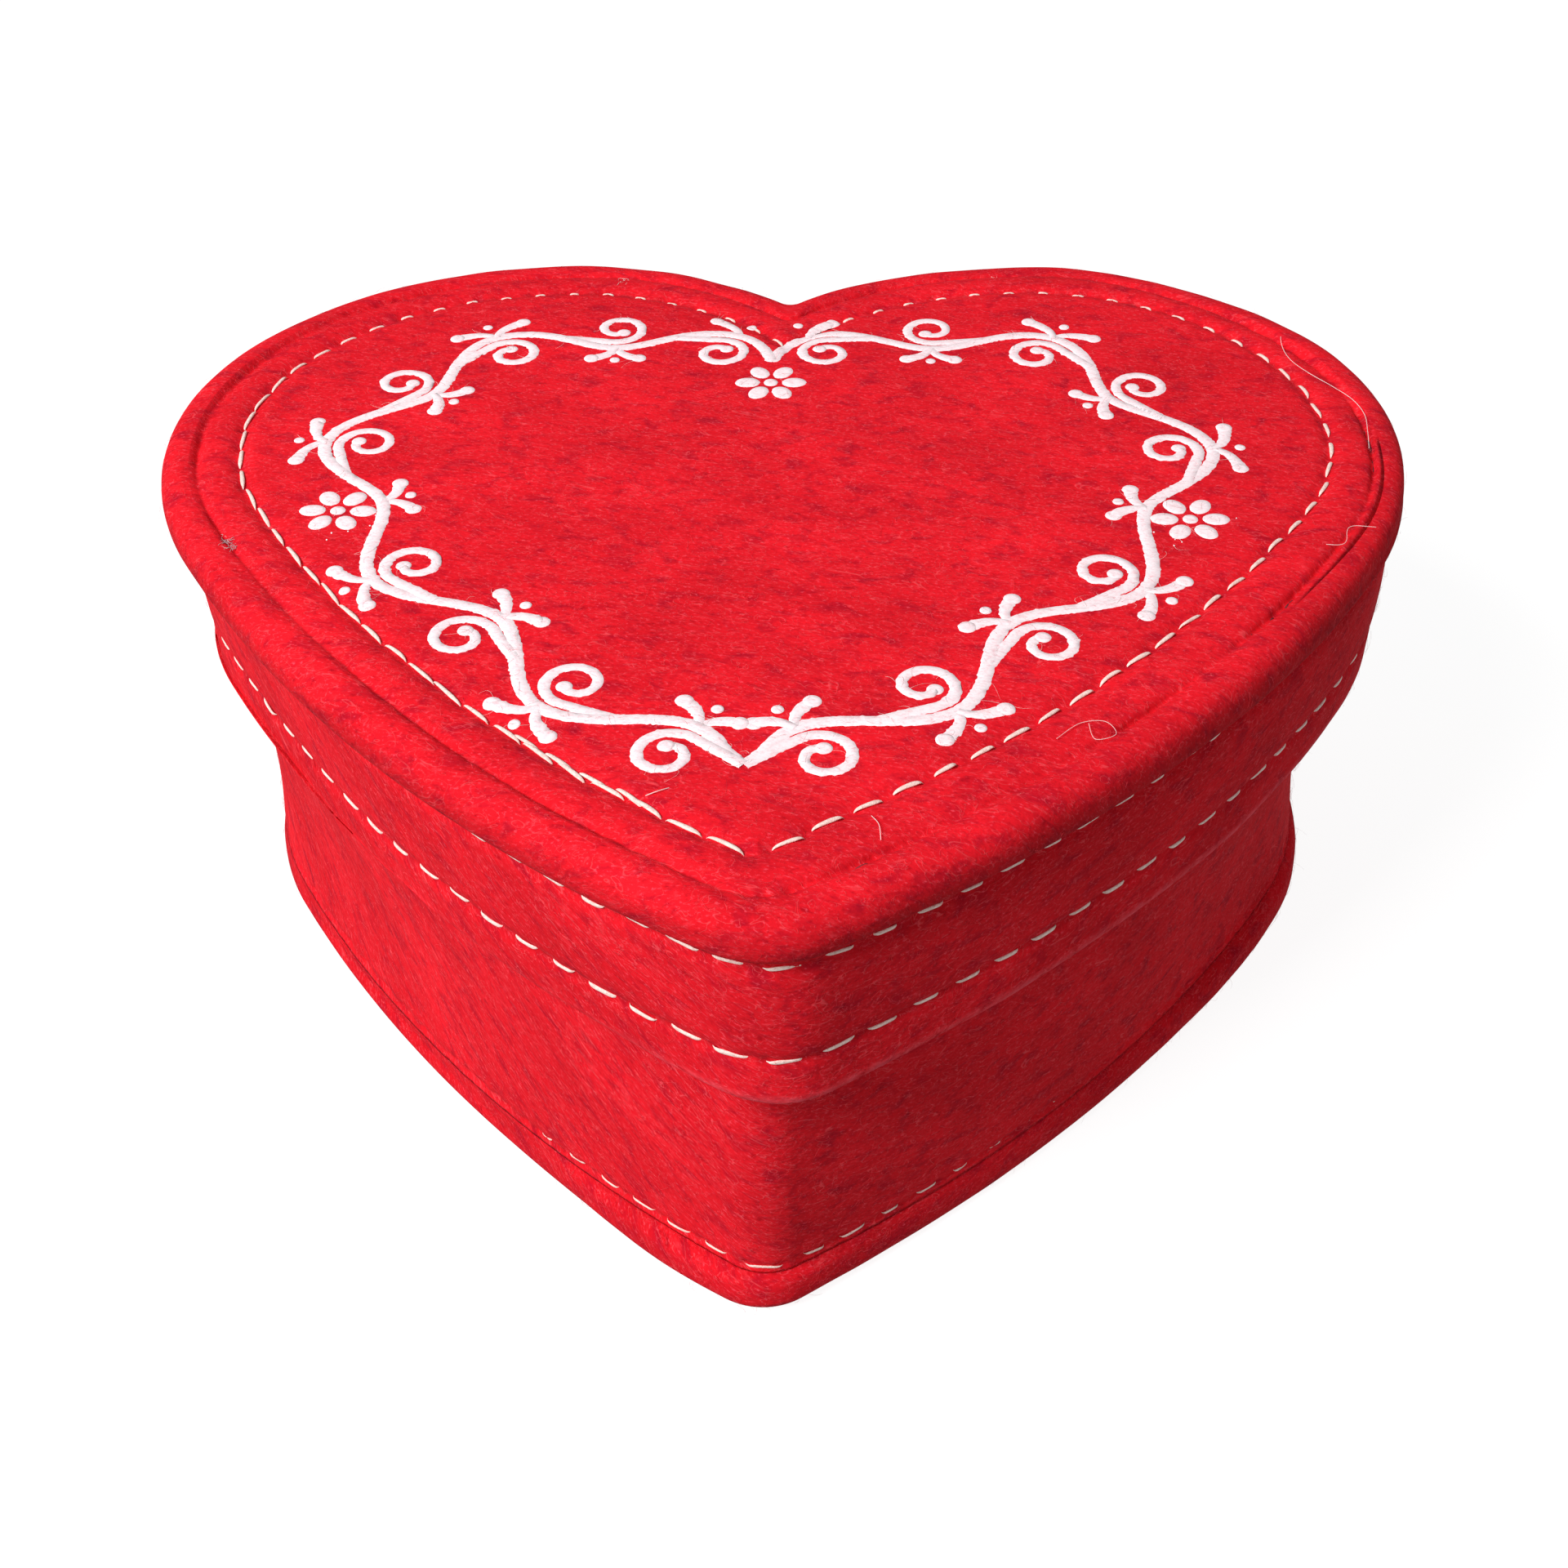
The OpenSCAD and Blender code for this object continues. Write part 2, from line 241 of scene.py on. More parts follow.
def wall_uv(grid, d):
    """Length round the heart and up the profile, at the left and right corner of each face."""
    s = along(d) * MM
    shift = np.where(np.arange(ROUND) >= HALF, s[-1], 0)
    step = np.linalg.norm(np.diff(grid[:, 0], axis=0), axis=1) * MM
    v = np.concatenate([[0], np.cumsum(step)])[:, None]
    left, right = s[:-1] - shift, s[1:] - shift
    left = np.stack(np.broadcast_arrays(left, v + slope(left)), -1)
    right = np.stack(np.broadcast_arrays(right, v + slope(right)), -1)
    return left, right


def slope(u):
    """The grain of a wall runs steeply down to the tip on the left and almost level on the right."""
    soft = 0.012
    left = -soft * np.log1p(np.exp(np.clip(-u / soft, -40, 40)))
    return 0.75 * left - 0.12 * np.maximum(u, 0)


def pad_uv(grid, flat_rows):
    """Plan of the pad, unrolled over its edge; flat_rows are the rows where the plan itself is used."""
    step = np.linalg.norm(np.diff(grid, axis=0), axis=2)
    plan = grid[..., :2].copy()
    first, last = flat_rows
    for j in range(last, len(grid)):
        plan[j] = grid[j, :, :2]
    out = outline(GROOVE_IN, 1.2)[1]
    reach = np.zeros(ROUND)
    for j in range(first, -1, -1):
        reach = reach + step[j]
        plan[j] = grid[first + 1, :, :2] + out * reach[:, None]
    left = plan * MM
    return left, np.roll(left, -1, 1)


def mesh_object(name, verts, faces, body, slot, material, replaces=(), uv=None):
    mesh = bpy.data.meshes.new(name)
    mesh.from_pydata((np.asarray(verts) * MM).tolist(), [], faces)
    mesh.polygons.foreach_set("use_smooth", [True] * len(mesh.polygons))
    if uv is not None:
        layer = mesh.uv_layers.new(name="grain")
        layer.data.foreach_set("uv", np.asarray(uv, np.float32).ravel())
    mesh.materials.append(material)
    mesh.update()
    obj = bpy.data.objects.new(name, mesh)
    bpy.context.scene.collection.objects.link(obj)
    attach(obj, body)
    if replaces:
        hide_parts(*replaces)
    return obj


def shell(name, grid, uv, caps=False, closed=False, **kw):
    """Mesh of a grid that goes round the heart. Caps fill its first and last ring; closed joins those two."""
    rows = len(grid)
    j, i = np.meshgrid(np.arange(rows if closed else rows - 1), np.arange(ROUND), indexing="ij")
    nxt, up = (i + 1) % ROUND, (j + 1) % rows
    quads = np.stack([j * ROUND + i, j * ROUND + nxt, up * ROUND + nxt, up * ROUND + i], -1)
    left, right = uv
    corner = np.stack([left[j, i], right[j, i], right[up, i], left[up, i]], 2)
    faces = quads.reshape(-1, 4).tolist()
    corners = [corner.reshape(-1, 2)]
    verts = grid.reshape(-1, 3)
    if caps:
        i = np.arange(ROUND)
        nxt = (i + 1) % ROUND
        for row, flip in ((0, True), (rows - 1, False)):
            middle = np.append(STAR, grid[row, :, 2].mean())
            index = len(verts)
            verts = np.vstack([verts, middle])
            a, b = row * ROUND + i, row * ROUND + nxt
            tri = np.stack([b, a, i * 0 + index] if flip else [a, b, i * 0 + index], -1)
            faces += tri.tolist()
            centre = np.broadcast_to(middle[:2] * MM, (ROUND, 2))
            pair = (right[row], left[row]) if flip else (left[row], right[row])
            corners.append(np.stack([*pair, centre], 1).reshape(-1, 2))
    return mesh_object(name, verts, faces, uv=np.vstack(corners), **kw)


def tubes(name, paths, side, up, **kw):
    """Closed tubes: paths (count, along, 3), with the half-width and half-height vectors of each section."""
    count, rows, _ = paths.shape
    sides = kw.pop("sides", 8)
    ply = kw.pop("ply", 0.0)
    a = np.arange(sides) / sides * 2 * math.pi
    turn = np.arange(rows)[:, None] * kw.pop("twist", 1.1)
    swell = 1 + ply * np.cos(2 * a - turn)
    verts = (
        paths[:, :, None]
        + side[:, :, None] * (np.cos(a) * swell)[None, :, :, None]
        + up[:, :, None] * (np.sin(a) * swell)[None, :, :, None]
    )
    k, j, i = np.meshgrid(
        np.arange(count), np.arange(rows - 1), np.arange(sides), indexing="ij"
    )
    base, nxt = (k * rows + j) * sides, (i + 1) % sides
    quads = np.stack([base + i, base + nxt, base + sides + nxt, base + sides + i], -1)
    faces = quads.reshape(-1, 4).tolist()
    first = np.arange(count)[:, None] * rows * sides + np.arange(sides)
    faces += first[:, ::-1].tolist() + (first + (rows - 1) * sides).tolist()
    return mesh_object(name, verts.reshape(-1, 3), faces, **kw)


def press(grid, normals, holes, depth, radius):
    """Dents in the felt where the thread goes through it."""
    tree = KDTree(len(holes))
    for k, hole in enumerate(holes):
        tree.insert(Vector(hole), k)
    tree.balance()
    flat = grid.reshape(-1, 3)
    away = np.array([tree.find(Vector(p))[2] for p in flat])
    dent = (depth * np.exp(-((away / radius) ** 2))).reshape(grid.shape[:2])
    return grid - normals * dent[..., None]


# --- Materials ---


def new_material(name, roughness, sheen=0.0, tint=(1, 1, 1), specular=0.25):
    m = bpy.data.materials.new(name)
    m.use_nodes = True
    shader = m.node_tree.nodes["Principled BSDF"]
    shader.inputs["Roughness"].default_value = roughness
    shader.inputs["Specular IOR Level"].default_value = specular
    shader.inputs["Sheen Weight"].default_value = sheen
    shader.inputs["Sheen Roughness"].default_value = 0.45
    shader.inputs["Sheen Tint"].default_value = (*tint, 1)
    return m, m.node_tree, shader


def node(tree, kind, inputs=(), **settings):
    n = tree.nodes.new(kind)
    for key, value in settings.items():
        setattr(n, key, value)
    for key, value in dict(inputs).items():
        if isinstance(value, bpy.types.NodeSocket):
            tree.links.new(value, n.inputs[key])
        else:
            n.inputs[key].default_value = value
    return n


def place(tree, scale, turn=0.0, source="grain"):
    """Coordinates along the grain: the UV map, or the object's own space."""
    if source == "grain":
        base = node(tree, "ShaderNodeUVMap", uv_map="grain").outputs["UV"]
    else:
        base = node(tree, "ShaderNodeTexCoord").outputs["Object"]
    spun = node(tree, "ShaderNodeMapping", {"Vector": base, "Rotation": (0, 0, math.radians(turn))})
    return node(
        tree, "ShaderNodeMapping", {"Vector": spun.outputs["Vector"], "Scale": scale}
    ).outputs["Vector"]


def speckle(tree, vector, detail=3.0, rough=0.55, distortion=0.0):
    return node(
        tree,
        "ShaderNodeTexNoise",
        {"Vector": vector, "Scale": 1.0, "Detail": detail, "Roughness": rough,
         "Distortion": distortion},
    ).outputs["Fac"]


def ramp(tree, value, *stops):
    n = node(tree, "ShaderNodeValToRGB", {"Fac": value})
    elements = n.color_ramp.elements
    while len(elements) < len(stops):
        elements.new(0.5)
    for e, (at, colour) in zip(elements, stops):
        e.position = at
        e.color = (*colour, 1) if hasattr(colour, "__len__") else (colour, colour, colour, 1)
    return n.outputs["Color"]


def mix(tree, factor, a, b, blend="MIX"):
    return node(
        tree, "ShaderNodeMix", {0: factor, 6: a, 7: b}, data_type="RGBA", blend_type=blend
    ).outputs[2]


def tinted(tree, colour, by):
    return mix(tree, 1.0, colour, by, "MULTIPLY")


def maths(tree, operation, *values):
    return node(tree, "ShaderNodeMath", dict(enumerate(values)), operation=operation).outputs[0]


def times(tree, a, b):
    return maths(tree, "MULTIPLY", a, b)


def hairlines(tree, vector, width, distortion=1.2):
    """Thin wandering lines, one fibre wide, where a noise crosses its middle value."""
    value = speckle(tree, vector, 1.5, 0.5, distortion)
    away = maths(tree, "ABSOLUTE", maths(tree, "SUBTRACT", value, 0.5))
    return ramp(tree, away, (0.0, 1.0), (width, 0.0))


def surface(tree, shader, colour, height, strength, distance=0.0002):
    """Gives a shader its colour and its fine relief."""
    tree.links.new(colour, shader.inputs["Base Color"])
    n = node(tree, "ShaderNodeBump", {"Strength": strength, "Distance": distance, "Height": height})
    tree.links.new(n.outputs["Normal"], shader.inputs["Normal"])


def rgba(colour):
    return (*colour, 1.0)


def own(tree, axis):
    """The piece's own coordinate along one axis."""
    place_in = node(tree, "ShaderNodeTexCoord").outputs["Object"]
    return node(tree, "ShaderNodeSeparateXYZ", {0: place_in}).outputs[axis]


def by_height(tree, low, high):
    """0 at one height of the piece and 1 at another, both in millimetres."""
    return node(tree, "ShaderNodeMapRange", {0: own(tree, "Z"), 1: low * MM, 2: high * MM}).outputs[0]


def felt(name, dark, mid, light, turn=0.0, pale=0.4, strength=0.4, raw_edge=None, shade=None, painted_shade_tone=1.0):
    """Heathered wool felt: soft mottles, faint streaks along the grain and single fibres on top."""
    m, tree, shader = new_material(name, 0.98, 0.02, (1.0, 0.3, 0.35), 0.02)
    streaks = speckle(tree, place(tree, (420, 980, 800), turn), 5.0, 0.62, 0.3)
    flecks = speckle(tree, place(tree, (1500, 2500, 1800), turn + 12), 3.0, 0.6)
    blotches = speckle(tree, place(tree, (240, 380, 300), turn + 5), 3.0, 0.6, 0.5)
    clouds = speckle(tree, place(tree, (45, 80, 60), turn), 2.0)
    base = ramp(tree, streaks, (0.24, dark), (0.43, mid), (0.57, mid), (0.78, light))
    specks = ramp(tree, flecks, (0.26, 0.74), (0.46, 1.0), (0.6, 1.0), (0.8, 1.15))
    base = tinted(tree, base, specks)
    # A factor below 1 darkens the whole piece: painted shade.
    drift = ramp(tree, clouds, (0.28, 0.78 * painted_shade_tone), (0.72, 1.06 * painted_shade_tone))
    base = tinted(tree, base, drift)
    stain = ramp(tree, blotches, (0.25, 0.85), (0.5, 0.0))
    base = mix(tree, stain, base, rgba((dark[0] * 0.8, dark[1], dark[2] * 1.4)))
    pink = ramp(tree, flecks, (0.57, 0.0), (0.72, 0.55))
    base = mix(tree, pink, base, rgba((0.95, 0.10, 0.15)))
    dark_lines = hairlines(tree, place(tree, (170, 520, 500), turn - 8), 0.014)
    pale_lines = hairlines(tree, place(tree, (170, 400, 400), turn + 16), 0.012, 1.8)
    pale_cross = hairlines(tree, place(tree, (210, 300, 400), turn - 34), 0.010, 2.4)
    patches = ramp(tree, speckle(tree, place(tree, (160, 300, 200), turn), 1.0), (0.45, 0.0), (0.6, 1.0))
    base = mix(tree, times(tree, dark_lines, 0.14), base, rgba(dark))
    both = maths(tree, "MAXIMUM", pale_lines, times(tree, pale_cross, patches))
    thin = times(tree, both, pale)
    base = mix(tree, thin, base, rgba([min(1, c * 1.05 + 0.07) for c in light]))
    # Painted highlight: a lighter line along the raw lower edge, where the cut felt catches the light. It is
    # faint on the left and full on the right.
    if raw_edge is not None:
        rim = times(tree, by_height(tree, raw_edge + 1.5, raw_edge + 0.2),
                    ramp(tree, streaks, (0.34, 0.05), (0.62, 0.6)))
        right = {0: own(tree, "X"), 1: -22 * MM, 2: 2 * MM, 3: 0.2}
        wear_and_highlight = node(tree, "ShaderNodeMapRange", right).outputs[0]
        base = mix(tree, times(tree, rim, wear_and_highlight), base, rgba((1.0, 0.13, 0.17)))
    # Painted shade: the piece is darkened towards the lower of two heights.
    if shade is not None:
        low, high, least = shade
        fall = ramp(tree, by_height(tree, low, high), (0.0, least), (1.0, 1.0))
        base = tinted(tree, base, fall)
    lumps = speckle(tree, place(tree, (420, 620, 600), turn), 2.0)
    height = maths(tree, "MULTIPLY_ADD", streaks, 0.6, times(tree, flecks, 0.5))
    height = maths(tree, "MULTIPLY_ADD", lumps, 1.3, height)
    height = maths(tree, "MULTIPLY_ADD", both, 0.25, height)
    surface(tree, shader, base, height, strength, 0.0004)
    return m


def plain_fibre(name, dark, light, scale=900, roughness=0.8, sheen=0.3, strength=0.4):
    """Thread, wadding, card, print and fluff: a fine mottle of two close colours."""
    m, tree, shader = new_material(name, roughness, sheen)
    grain = speckle(tree, place(tree, (scale,) * 3, source="object"), 4.0, 0.6)
    surface(tree, shader, ramp(tree, grain, (0.32, dark), (0.66, light)), grain, strength)
    return m


def thread_material(name, dark, light):
    m, tree, shader = new_material(name, 0.6, 0.1, (1, 0.95, 0.93), 0.25)
    strands = speckle(tree, place(tree, (2600, 2600, 2600), source="object"), 2.0, 0.5, 0.6)
    dirt = speckle(tree, place(tree, (170, 170, 170), source="object"), 3.0)
    base = ramp(tree, strands, (0.3, dark), (0.6, light))
    base = tinted(tree, base, ramp(tree, dirt, (0.3, 0.93), (0.6, 1.0)))
    surface(tree, shader, base, strands, 0.5)
    return m


def print_material():
    """Screen print: matt white, with a little of the felt's fibres showing through."""
    m, tree, shader = new_material("screen_print", 0.75, 0.0, (1, 1, 1), 0.2)
    grain = speckle(tree, place(tree, (1500, 2400, 2000), source="object"), 4.0, 0.65)
    wear_and_highlight = hairlines(tree, place(tree, (420, 900, 600), 14, "object"), 0.016)
    thin, half, full = (0.86, 0.32, 0.36), (0.93, 0.68, 0.72), (0.97, 0.84, 0.87)
    base = ramp(tree, grain, (0.24, thin), (0.36, half), (0.54, full))
    base = mix(tree, times(tree, wear_and_highlight, 0.3), base, rgba((0.92, 0.42, 0.46)))
    surface(tree, shader, base, grain, 0.3)
    return m


def card_material():
    m, tree, shader = new_material("grey_card", 0.9, 0.0, (1, 1, 1), 0.2)
    pulp = speckle(tree, place(tree, (700, 700, 700), source="object"), 5.0, 0.65)
    bits = speckle(tree, place(tree, (2200, 2200, 900), source="object"), 2.0)
    base = ramp(tree, pulp, (0.3, (0.27, 0.25, 0.22)), (0.55, (0.36, 0.33, 0.29)), (0.75, (0.43, 0.4, 0.36)))
    base = tinted(tree, base, ramp(tree, bits, (0.28, 0.6), (0.4, 1.0)))
    surface(tree, shader, base, pulp, 0.3)
    return m


RED_DARK, RED, RED_LIGHT = (0.46, 0.005, 0.014), (0.83, 0.0115, 0.022), (0.95, 0.045, 0.065)
# The top felt is darkened down its rolled edge: painted shade.
top_felt = felt("red_felt_top", RED_DARK, RED, RED_LIGHT, 4, shade=(LIP_Z + 1, FELT_TOP - 0.2, 0.64))
wall_felt = felt("red_felt_wall", RED_DARK, RED, RED_LIGHT, 2, 0.5)
# The band and the base are darker copies of the same felt: painted shade. The band also has the painted
# highlight along its raw edge.
band_felt = felt("red_felt_band", RED_DARK, RED, RED_LIGHT, -9, 0.5, raw_edge=LID_EDGE, painted_shade_tone=0.93)
base_felt = felt("red_felt_base", RED_DARK, RED, RED_LIGHT, -9, painted_shade_tone=0.88)
lining_felt = felt("red_lining", (0.30, 0.004, 0.008), (0.58, 0.012, 0.022), (0.7, 0.04, 0.06), 10, 0.15, 0.5)
# The white thread is tinted pink: painted light, standing in for the red light the felt throws back onto it.
white_thread = thread_material("white_thread", (0.82, 0.54, 0.48), (0.98, 0.77, 0.70))
dark_thread = plain_fibre("dark_thread", (0.05, 0.008, 0.012), (0.26, 0.03, 0.04), 1400, 0.9, 0.0)
red_thread = thread_material("red_thread", (0.40, 0.01, 0.02), (0.68, 0.03, 0.05))
ink = print_material()
card = card_material()
wadding = plain_fibre("wadding", (0.72, 0.70, 0.66), (0.90, 0.88, 0.85), 500, 0.95)
fluff = plain_fibre("red_fluff", (0.55, 0.008, 0.016), (0.95, 0.10, 0.13), 260, 0.9, 0.0)
lint = plain_fibre("grey_lint", (0.30, 0.22, 0.25), (0.62, 0.55, 0.57), 700, 0.9)
pale_hair = plain_fibre("pale_hair", (0.85, 0.50, 0.50), (0.95, 0.74, 0.72), 300, 0.6)


# --- Stitches ---


def arc_steps(c, r, start, end, pitch):
    count = round(abs(end - start) * r / pitch)
    a = start + (end - start) * (np.arange(count) + 0.5) / count
    out = np.stack([np.cos(a), np.sin(a)], 1)
    return np.hstack([np.array(c) + r * out, out])


def steps_along(d, pitch):
    """Middle and outward direction of each stitch of a row, spaced as in the CAD."""
    end, meet = tip_end(d), math.acos(-LOBE_X / (LOBE_R - d))
    tip = arc_steps((0, tip_middle(d)), tip_radius(d), -math.pi - end, end, max(pitch, 4))
    side = arc_steps(SIDE_C, SIDE_R - d, end, -SIDE_TURN, pitch)
    lobe = arc_steps((LOBE_X, LOBE_Y), LOBE_R - d, -SIDE_TURN, meet, pitch)
    half = np.vstack([side, lobe])
    flip = np.array([-1, 1, -1, 1])
    rows = np.vstack([half[::-1] * flip, tip, half])
    return rows[:, :2], rows[:, 2:]


def stitch_ends(c, t, length):
    return np.vstack([c - t * length[:, None] / 2, c + t * length[:, None] / 2])


def stitches(name, c, t, n, length, width, thick, body, slot, material, replaces, lift=0.2, slant=0.0,
             sag=0.0):
    """Short lengths of thread that rise out of the felt, bow a little and go back in."""
    count, rows = len(c), 15
    u = np.linspace(-1, 1, rows)[None, :, None]
    turn = rng.normal(slant, 0.045, (count, 1))
    t = unit(t + n * rng.normal(0, 0.03, (count, 1)) + np.cross(t, n) * turn)
    b = np.cross(t, n)
    bow = rng.normal(sag, 0.07, (count, 1, 1))
    rise = lift * (1 - np.abs(u) ** 2.4) - 0.4 * np.abs(u) ** 8
    path = (
        c[:, None]
        + t[:, None] * u * length[:, None, None] / 2
        + n[:, None] * rise
        + b[:, None] * bow * (1 - u**2)
    )
    taper = np.maximum(1 - np.abs(u) ** 3, 0.06) ** 0.7
    fat = 1 + rng.normal(0, 0.06, (count, 1, 1))
    return tubes(
        name, path, b[:, None] * taper * fat * width / 2, n[:, None] * taper * thick / 2,
        sides=10, ply=0.07, twist=0.55, body=body, slot=slot, material=material, replaces=replaces,
    )


def band_stitches(d, z, share, jitter=0.05):
    """Middles, directions and lengths of a row of stitches round a band."""
    p, out = steps_along(d, BAND_PITCH)
    count = len(p)
    z = z + rng.normal(0, 0.1, count)
    c = np.column_stack([p, z])
    n = np.column_stack([out, np.zeros(count)])
    t = np.cross(np.array([0, 0, 1.0]), n)
    gap = np.linalg.norm(np.roll(p, -1, 0) - p, axis=1)
    length = np.minimum(gap, BAND_PITCH * 1.1) * share * (1 + rng.normal(0, jitter, count))
    return c, t, n, length


def top_stitches(d, depth, share, jitter=0.05, wander=0.1):
    p, out = steps_along(d, STITCH_PITCH)
    count = len(p)
    p = p + out * rng.normal(0, wander, (count, 1))
    if d == QUILT_IN:
        p = p - out * quilt_shift(p)[:, None]
    c = np.column_stack([p, FELT_TOP + lid_waves(p) - depth])
    t = np.column_stack([-out[:, 1], out[:, 0], np.zeros(count)])
    n = np.tile([0, 0, 1.0], (count, 1))
    gap = np.linalg.norm(np.roll(p, -1, 0) - p, axis=1)
    length = np.minimum(gap, STITCH_PITCH * 1.1) * share * (1 + rng.normal(0, jitter, count))
    return c, t, n, length


def quilting():
    """The quilting row: long, almost touching stitches on the left, shorter and half sunk at the back."""
    c, t, n, length = top_stitches(QUILT_IN, 0.44, 0.74, 0.07, 0.10)
    left = np.clip(-c[:, 0] / 12, 0, 1)
    back = np.clip((c[:, 1] - 30) / 35, 0, 1)
    length = length * (1 + 0.3 * left * (1 - back) - 0.5 * back)
    c[:, 2] -= 0.36 * back
    return c, t, n, length


def backtack():
    """Second run of stitches that locks the quilting row beside the tip."""
    d = QUILT_IN + 0.35
    step = STITCH_PITCH / (SIDE_R - d)
    a = math.pi - tip_end(d) - step * np.arange(3.0, 7.0)
    out = np.stack([np.cos(a), np.sin(a)], 1)
    p = out * (SIDE_R - d) + np.array([-SIDE_C[0], SIDE_C[1]])
    c = np.column_stack([p, FELT_TOP + lid_waves(p) - 0.42])
    t = np.column_stack([-out[:, 1], out[:, 0], a * 0])
    return c, t, np.tile([0, 0, 1.0], (len(a), 1)), np.full(len(a), 5.0)


quilt = quilting()
groove = top_stitches(GROOVE_IN, 0.75, 0.62, 0.2, 0.12)
groove[0][:, 2] -= rng.choice([0.6, 0.4], len(groove[0]), p=[0.8, 0.2])
upper = band_stitches(BAND_IN + 0.3, UPPER_ROW, 0.66, 0.12)
upper[0][:, 2] += tip_lift(upper[0])
rim = band_stitches(BAND_IN + 0.3, RIM_ROW, 0.66, 0.08)
rim[3][:] *= 1 + 0.22 * np.exp(-((rim[0][:, 1] + 90) / 22) ** 2)
low = band_stitches(WALL_IN + 0.3, BOTTOM_ROW, 0.62, 0.14)
inner = band_stitches(WALL_IN + 0.4, WALL_RIM_ROW, 0.70)


def holes_of(row, share=1.0):
    c, t, _, length = row
    return stitch_ends(c, t, length * share)


# --- The lid ---

# Heights below the top of the felt at each inset, from the underside of the lip up to the sunk seam.
ROLL = [
    (5.6, -7.3), (4.4, -7.3), (2.9, -7.3), (1.7, -7.05), (0.75, -6.45), (0.18, -5.6), (0.0, -4.6),
    (0.03, -3.5), (0.25, -2.4), (0.75, -1.45), (1.5, -0.75), (2.4, -0.35), (3.4, -0.18), (4.4, -0.22),
]
TOP_INSETS = [
    5.0, 5.2, 5.35, 5.5, 5.65, 5.8, 6.05, 6.4, 6.8, 7.4, 8.1, 8.8, 9.4, 9.9, 10.3, 10.65, 11.0, 11.25, 11.5,
    11.75, 12.0, 12.3, 12.6, 12.9, 13.2, 13.5, 13.9, 14.4, 15.0, 15.8,
]


def roll_height(d):
    """Height of the felt between the sunk seam and the rolled edge, below its top."""
    rows = smooth(ROLL, 6)
    upper_side = rows[rows[:, 1] > -4.6]
    return np.interp(d, upper_side[:, 0], upper_side[:, 1], right=0.0)


def tip_lean(points):
    """The lid's tip is pushed a little to the right below its padded top."""
    return swell(points, 1, -90, 25, 2.4)


def lid_pad():
    """Felt cover of the padded lid: a shell over the wadding and card, with its channels and rolled edge."""
    underneath = [(13, 72.8), (6, 72.8), (2.1, 72.7), (2.05, 71), (2.05, 69.05), (3.5, 68.98), (5.6, 68.98)]
    edge = smooth(ROLL, 6)
    edge[:, 1] += FELT_TOP
    plain = [(d, FELT_TOP) for d in TOP_INSETS]
    profile = underneath + edge.tolist() + plain
    grid = loft(profile, 2.2)
    first = len(underneath) + len(edge) - 1
    inner_rings = shrink(grid[-1], np.linspace(1, 0.03, 30)[1:])
    grid = np.vstack([grid, inner_rings])
    top = grid[first + 1:]
    d = np.full(top.shape[:2], 30.0)
    d[: len(TOP_INSETS)] = np.array(TOP_INSETS)[:, None]
    xy = top[..., :2]
    uneven = np.clip(0.6 + 1.1 * waves(xy, 17.0, 12.5), 0.12, 1.2)
    seam = hollow(d, GROOVE_IN, 0.45, 0.6) * uneven + hollow(d, GROOVE_IN, 1.5, 0.4)
    shoulder = np.where(d < 5.6, roll_height(d) * 0.8, 0)
    top[..., 2] = FELT_TOP + lid_waves(xy) + channel(xy) + seam + shoulder
    rolled = grid[len(underneath): first + 1]
    fade = np.clip((rolled[..., 2] - LIP_Z - 0.4) / 5, 0, 1)
    rolled[..., 2] += lid_waves(rolled[..., :2]) * fade + tip_lift(rolled) * (1 - fade)
    rolled[..., 0] += tip_lean(rolled) * 0.7 * np.clip((FELT_TOP - rolled[..., 2]) / 3, 0, 1)
    normals = grid_normals(grid)
    low_wave = waves(rolled, 26.0, 5.5) * 0.32 + waves(rolled, 7.0, 2.5) * 0.10
    low_wave += swell(rolled, 86, 2, 22, -1.1) + swell(rolled, -82, 48, 34, 0.6)
    low_wave += swell(rolled, 84, 52, 24, 0.9)
    rolled += normals[len(underneath): first + 1] * (low_wave * np.minimum(fade * 2, 1) - 0.1)[..., None]
    uv = pad_uv(grid, (first, first + 1))
    holes = np.vstack([holes_of(quilt), holes_of(groove)])
    part = grid[first:]
    grid[first:] = press(part, grid_normals(part), holes, 0.35, 0.8)
    obj = shell("lid_pad_felt", grid, uv, caps=True, body="lid", slot="red_felt", material=top_felt,
                replaces=("lid_top_felt",))
    return grid[len(underneath):]


def band_profile(d, thick, low_z, high_z, rows, step=0.7):
    """Closed profile of a band: up its outside, over its top and down its inside."""
    z = np.arange(low_z + 0.9, high_z - 0.1, step)
    outside = [(d + sum(0.42 * math.exp(-(((h - r) / 0.85) ** 2)) for r in rows), h) for h in z]
    start = [(d + 0.6, low_z), (d + 0.2, low_z + 0.08), (d + 0.02, low_z + 0.35)]
    end = [(d + 0.05, high_z), (d + thick, high_z)]
    back = [(d + thick, low_z + 0.8), (d + thick - 0.12, low_z + 0.35), (d + thick - 0.5, low_z + 0.05)]
    return start + outside + end + back


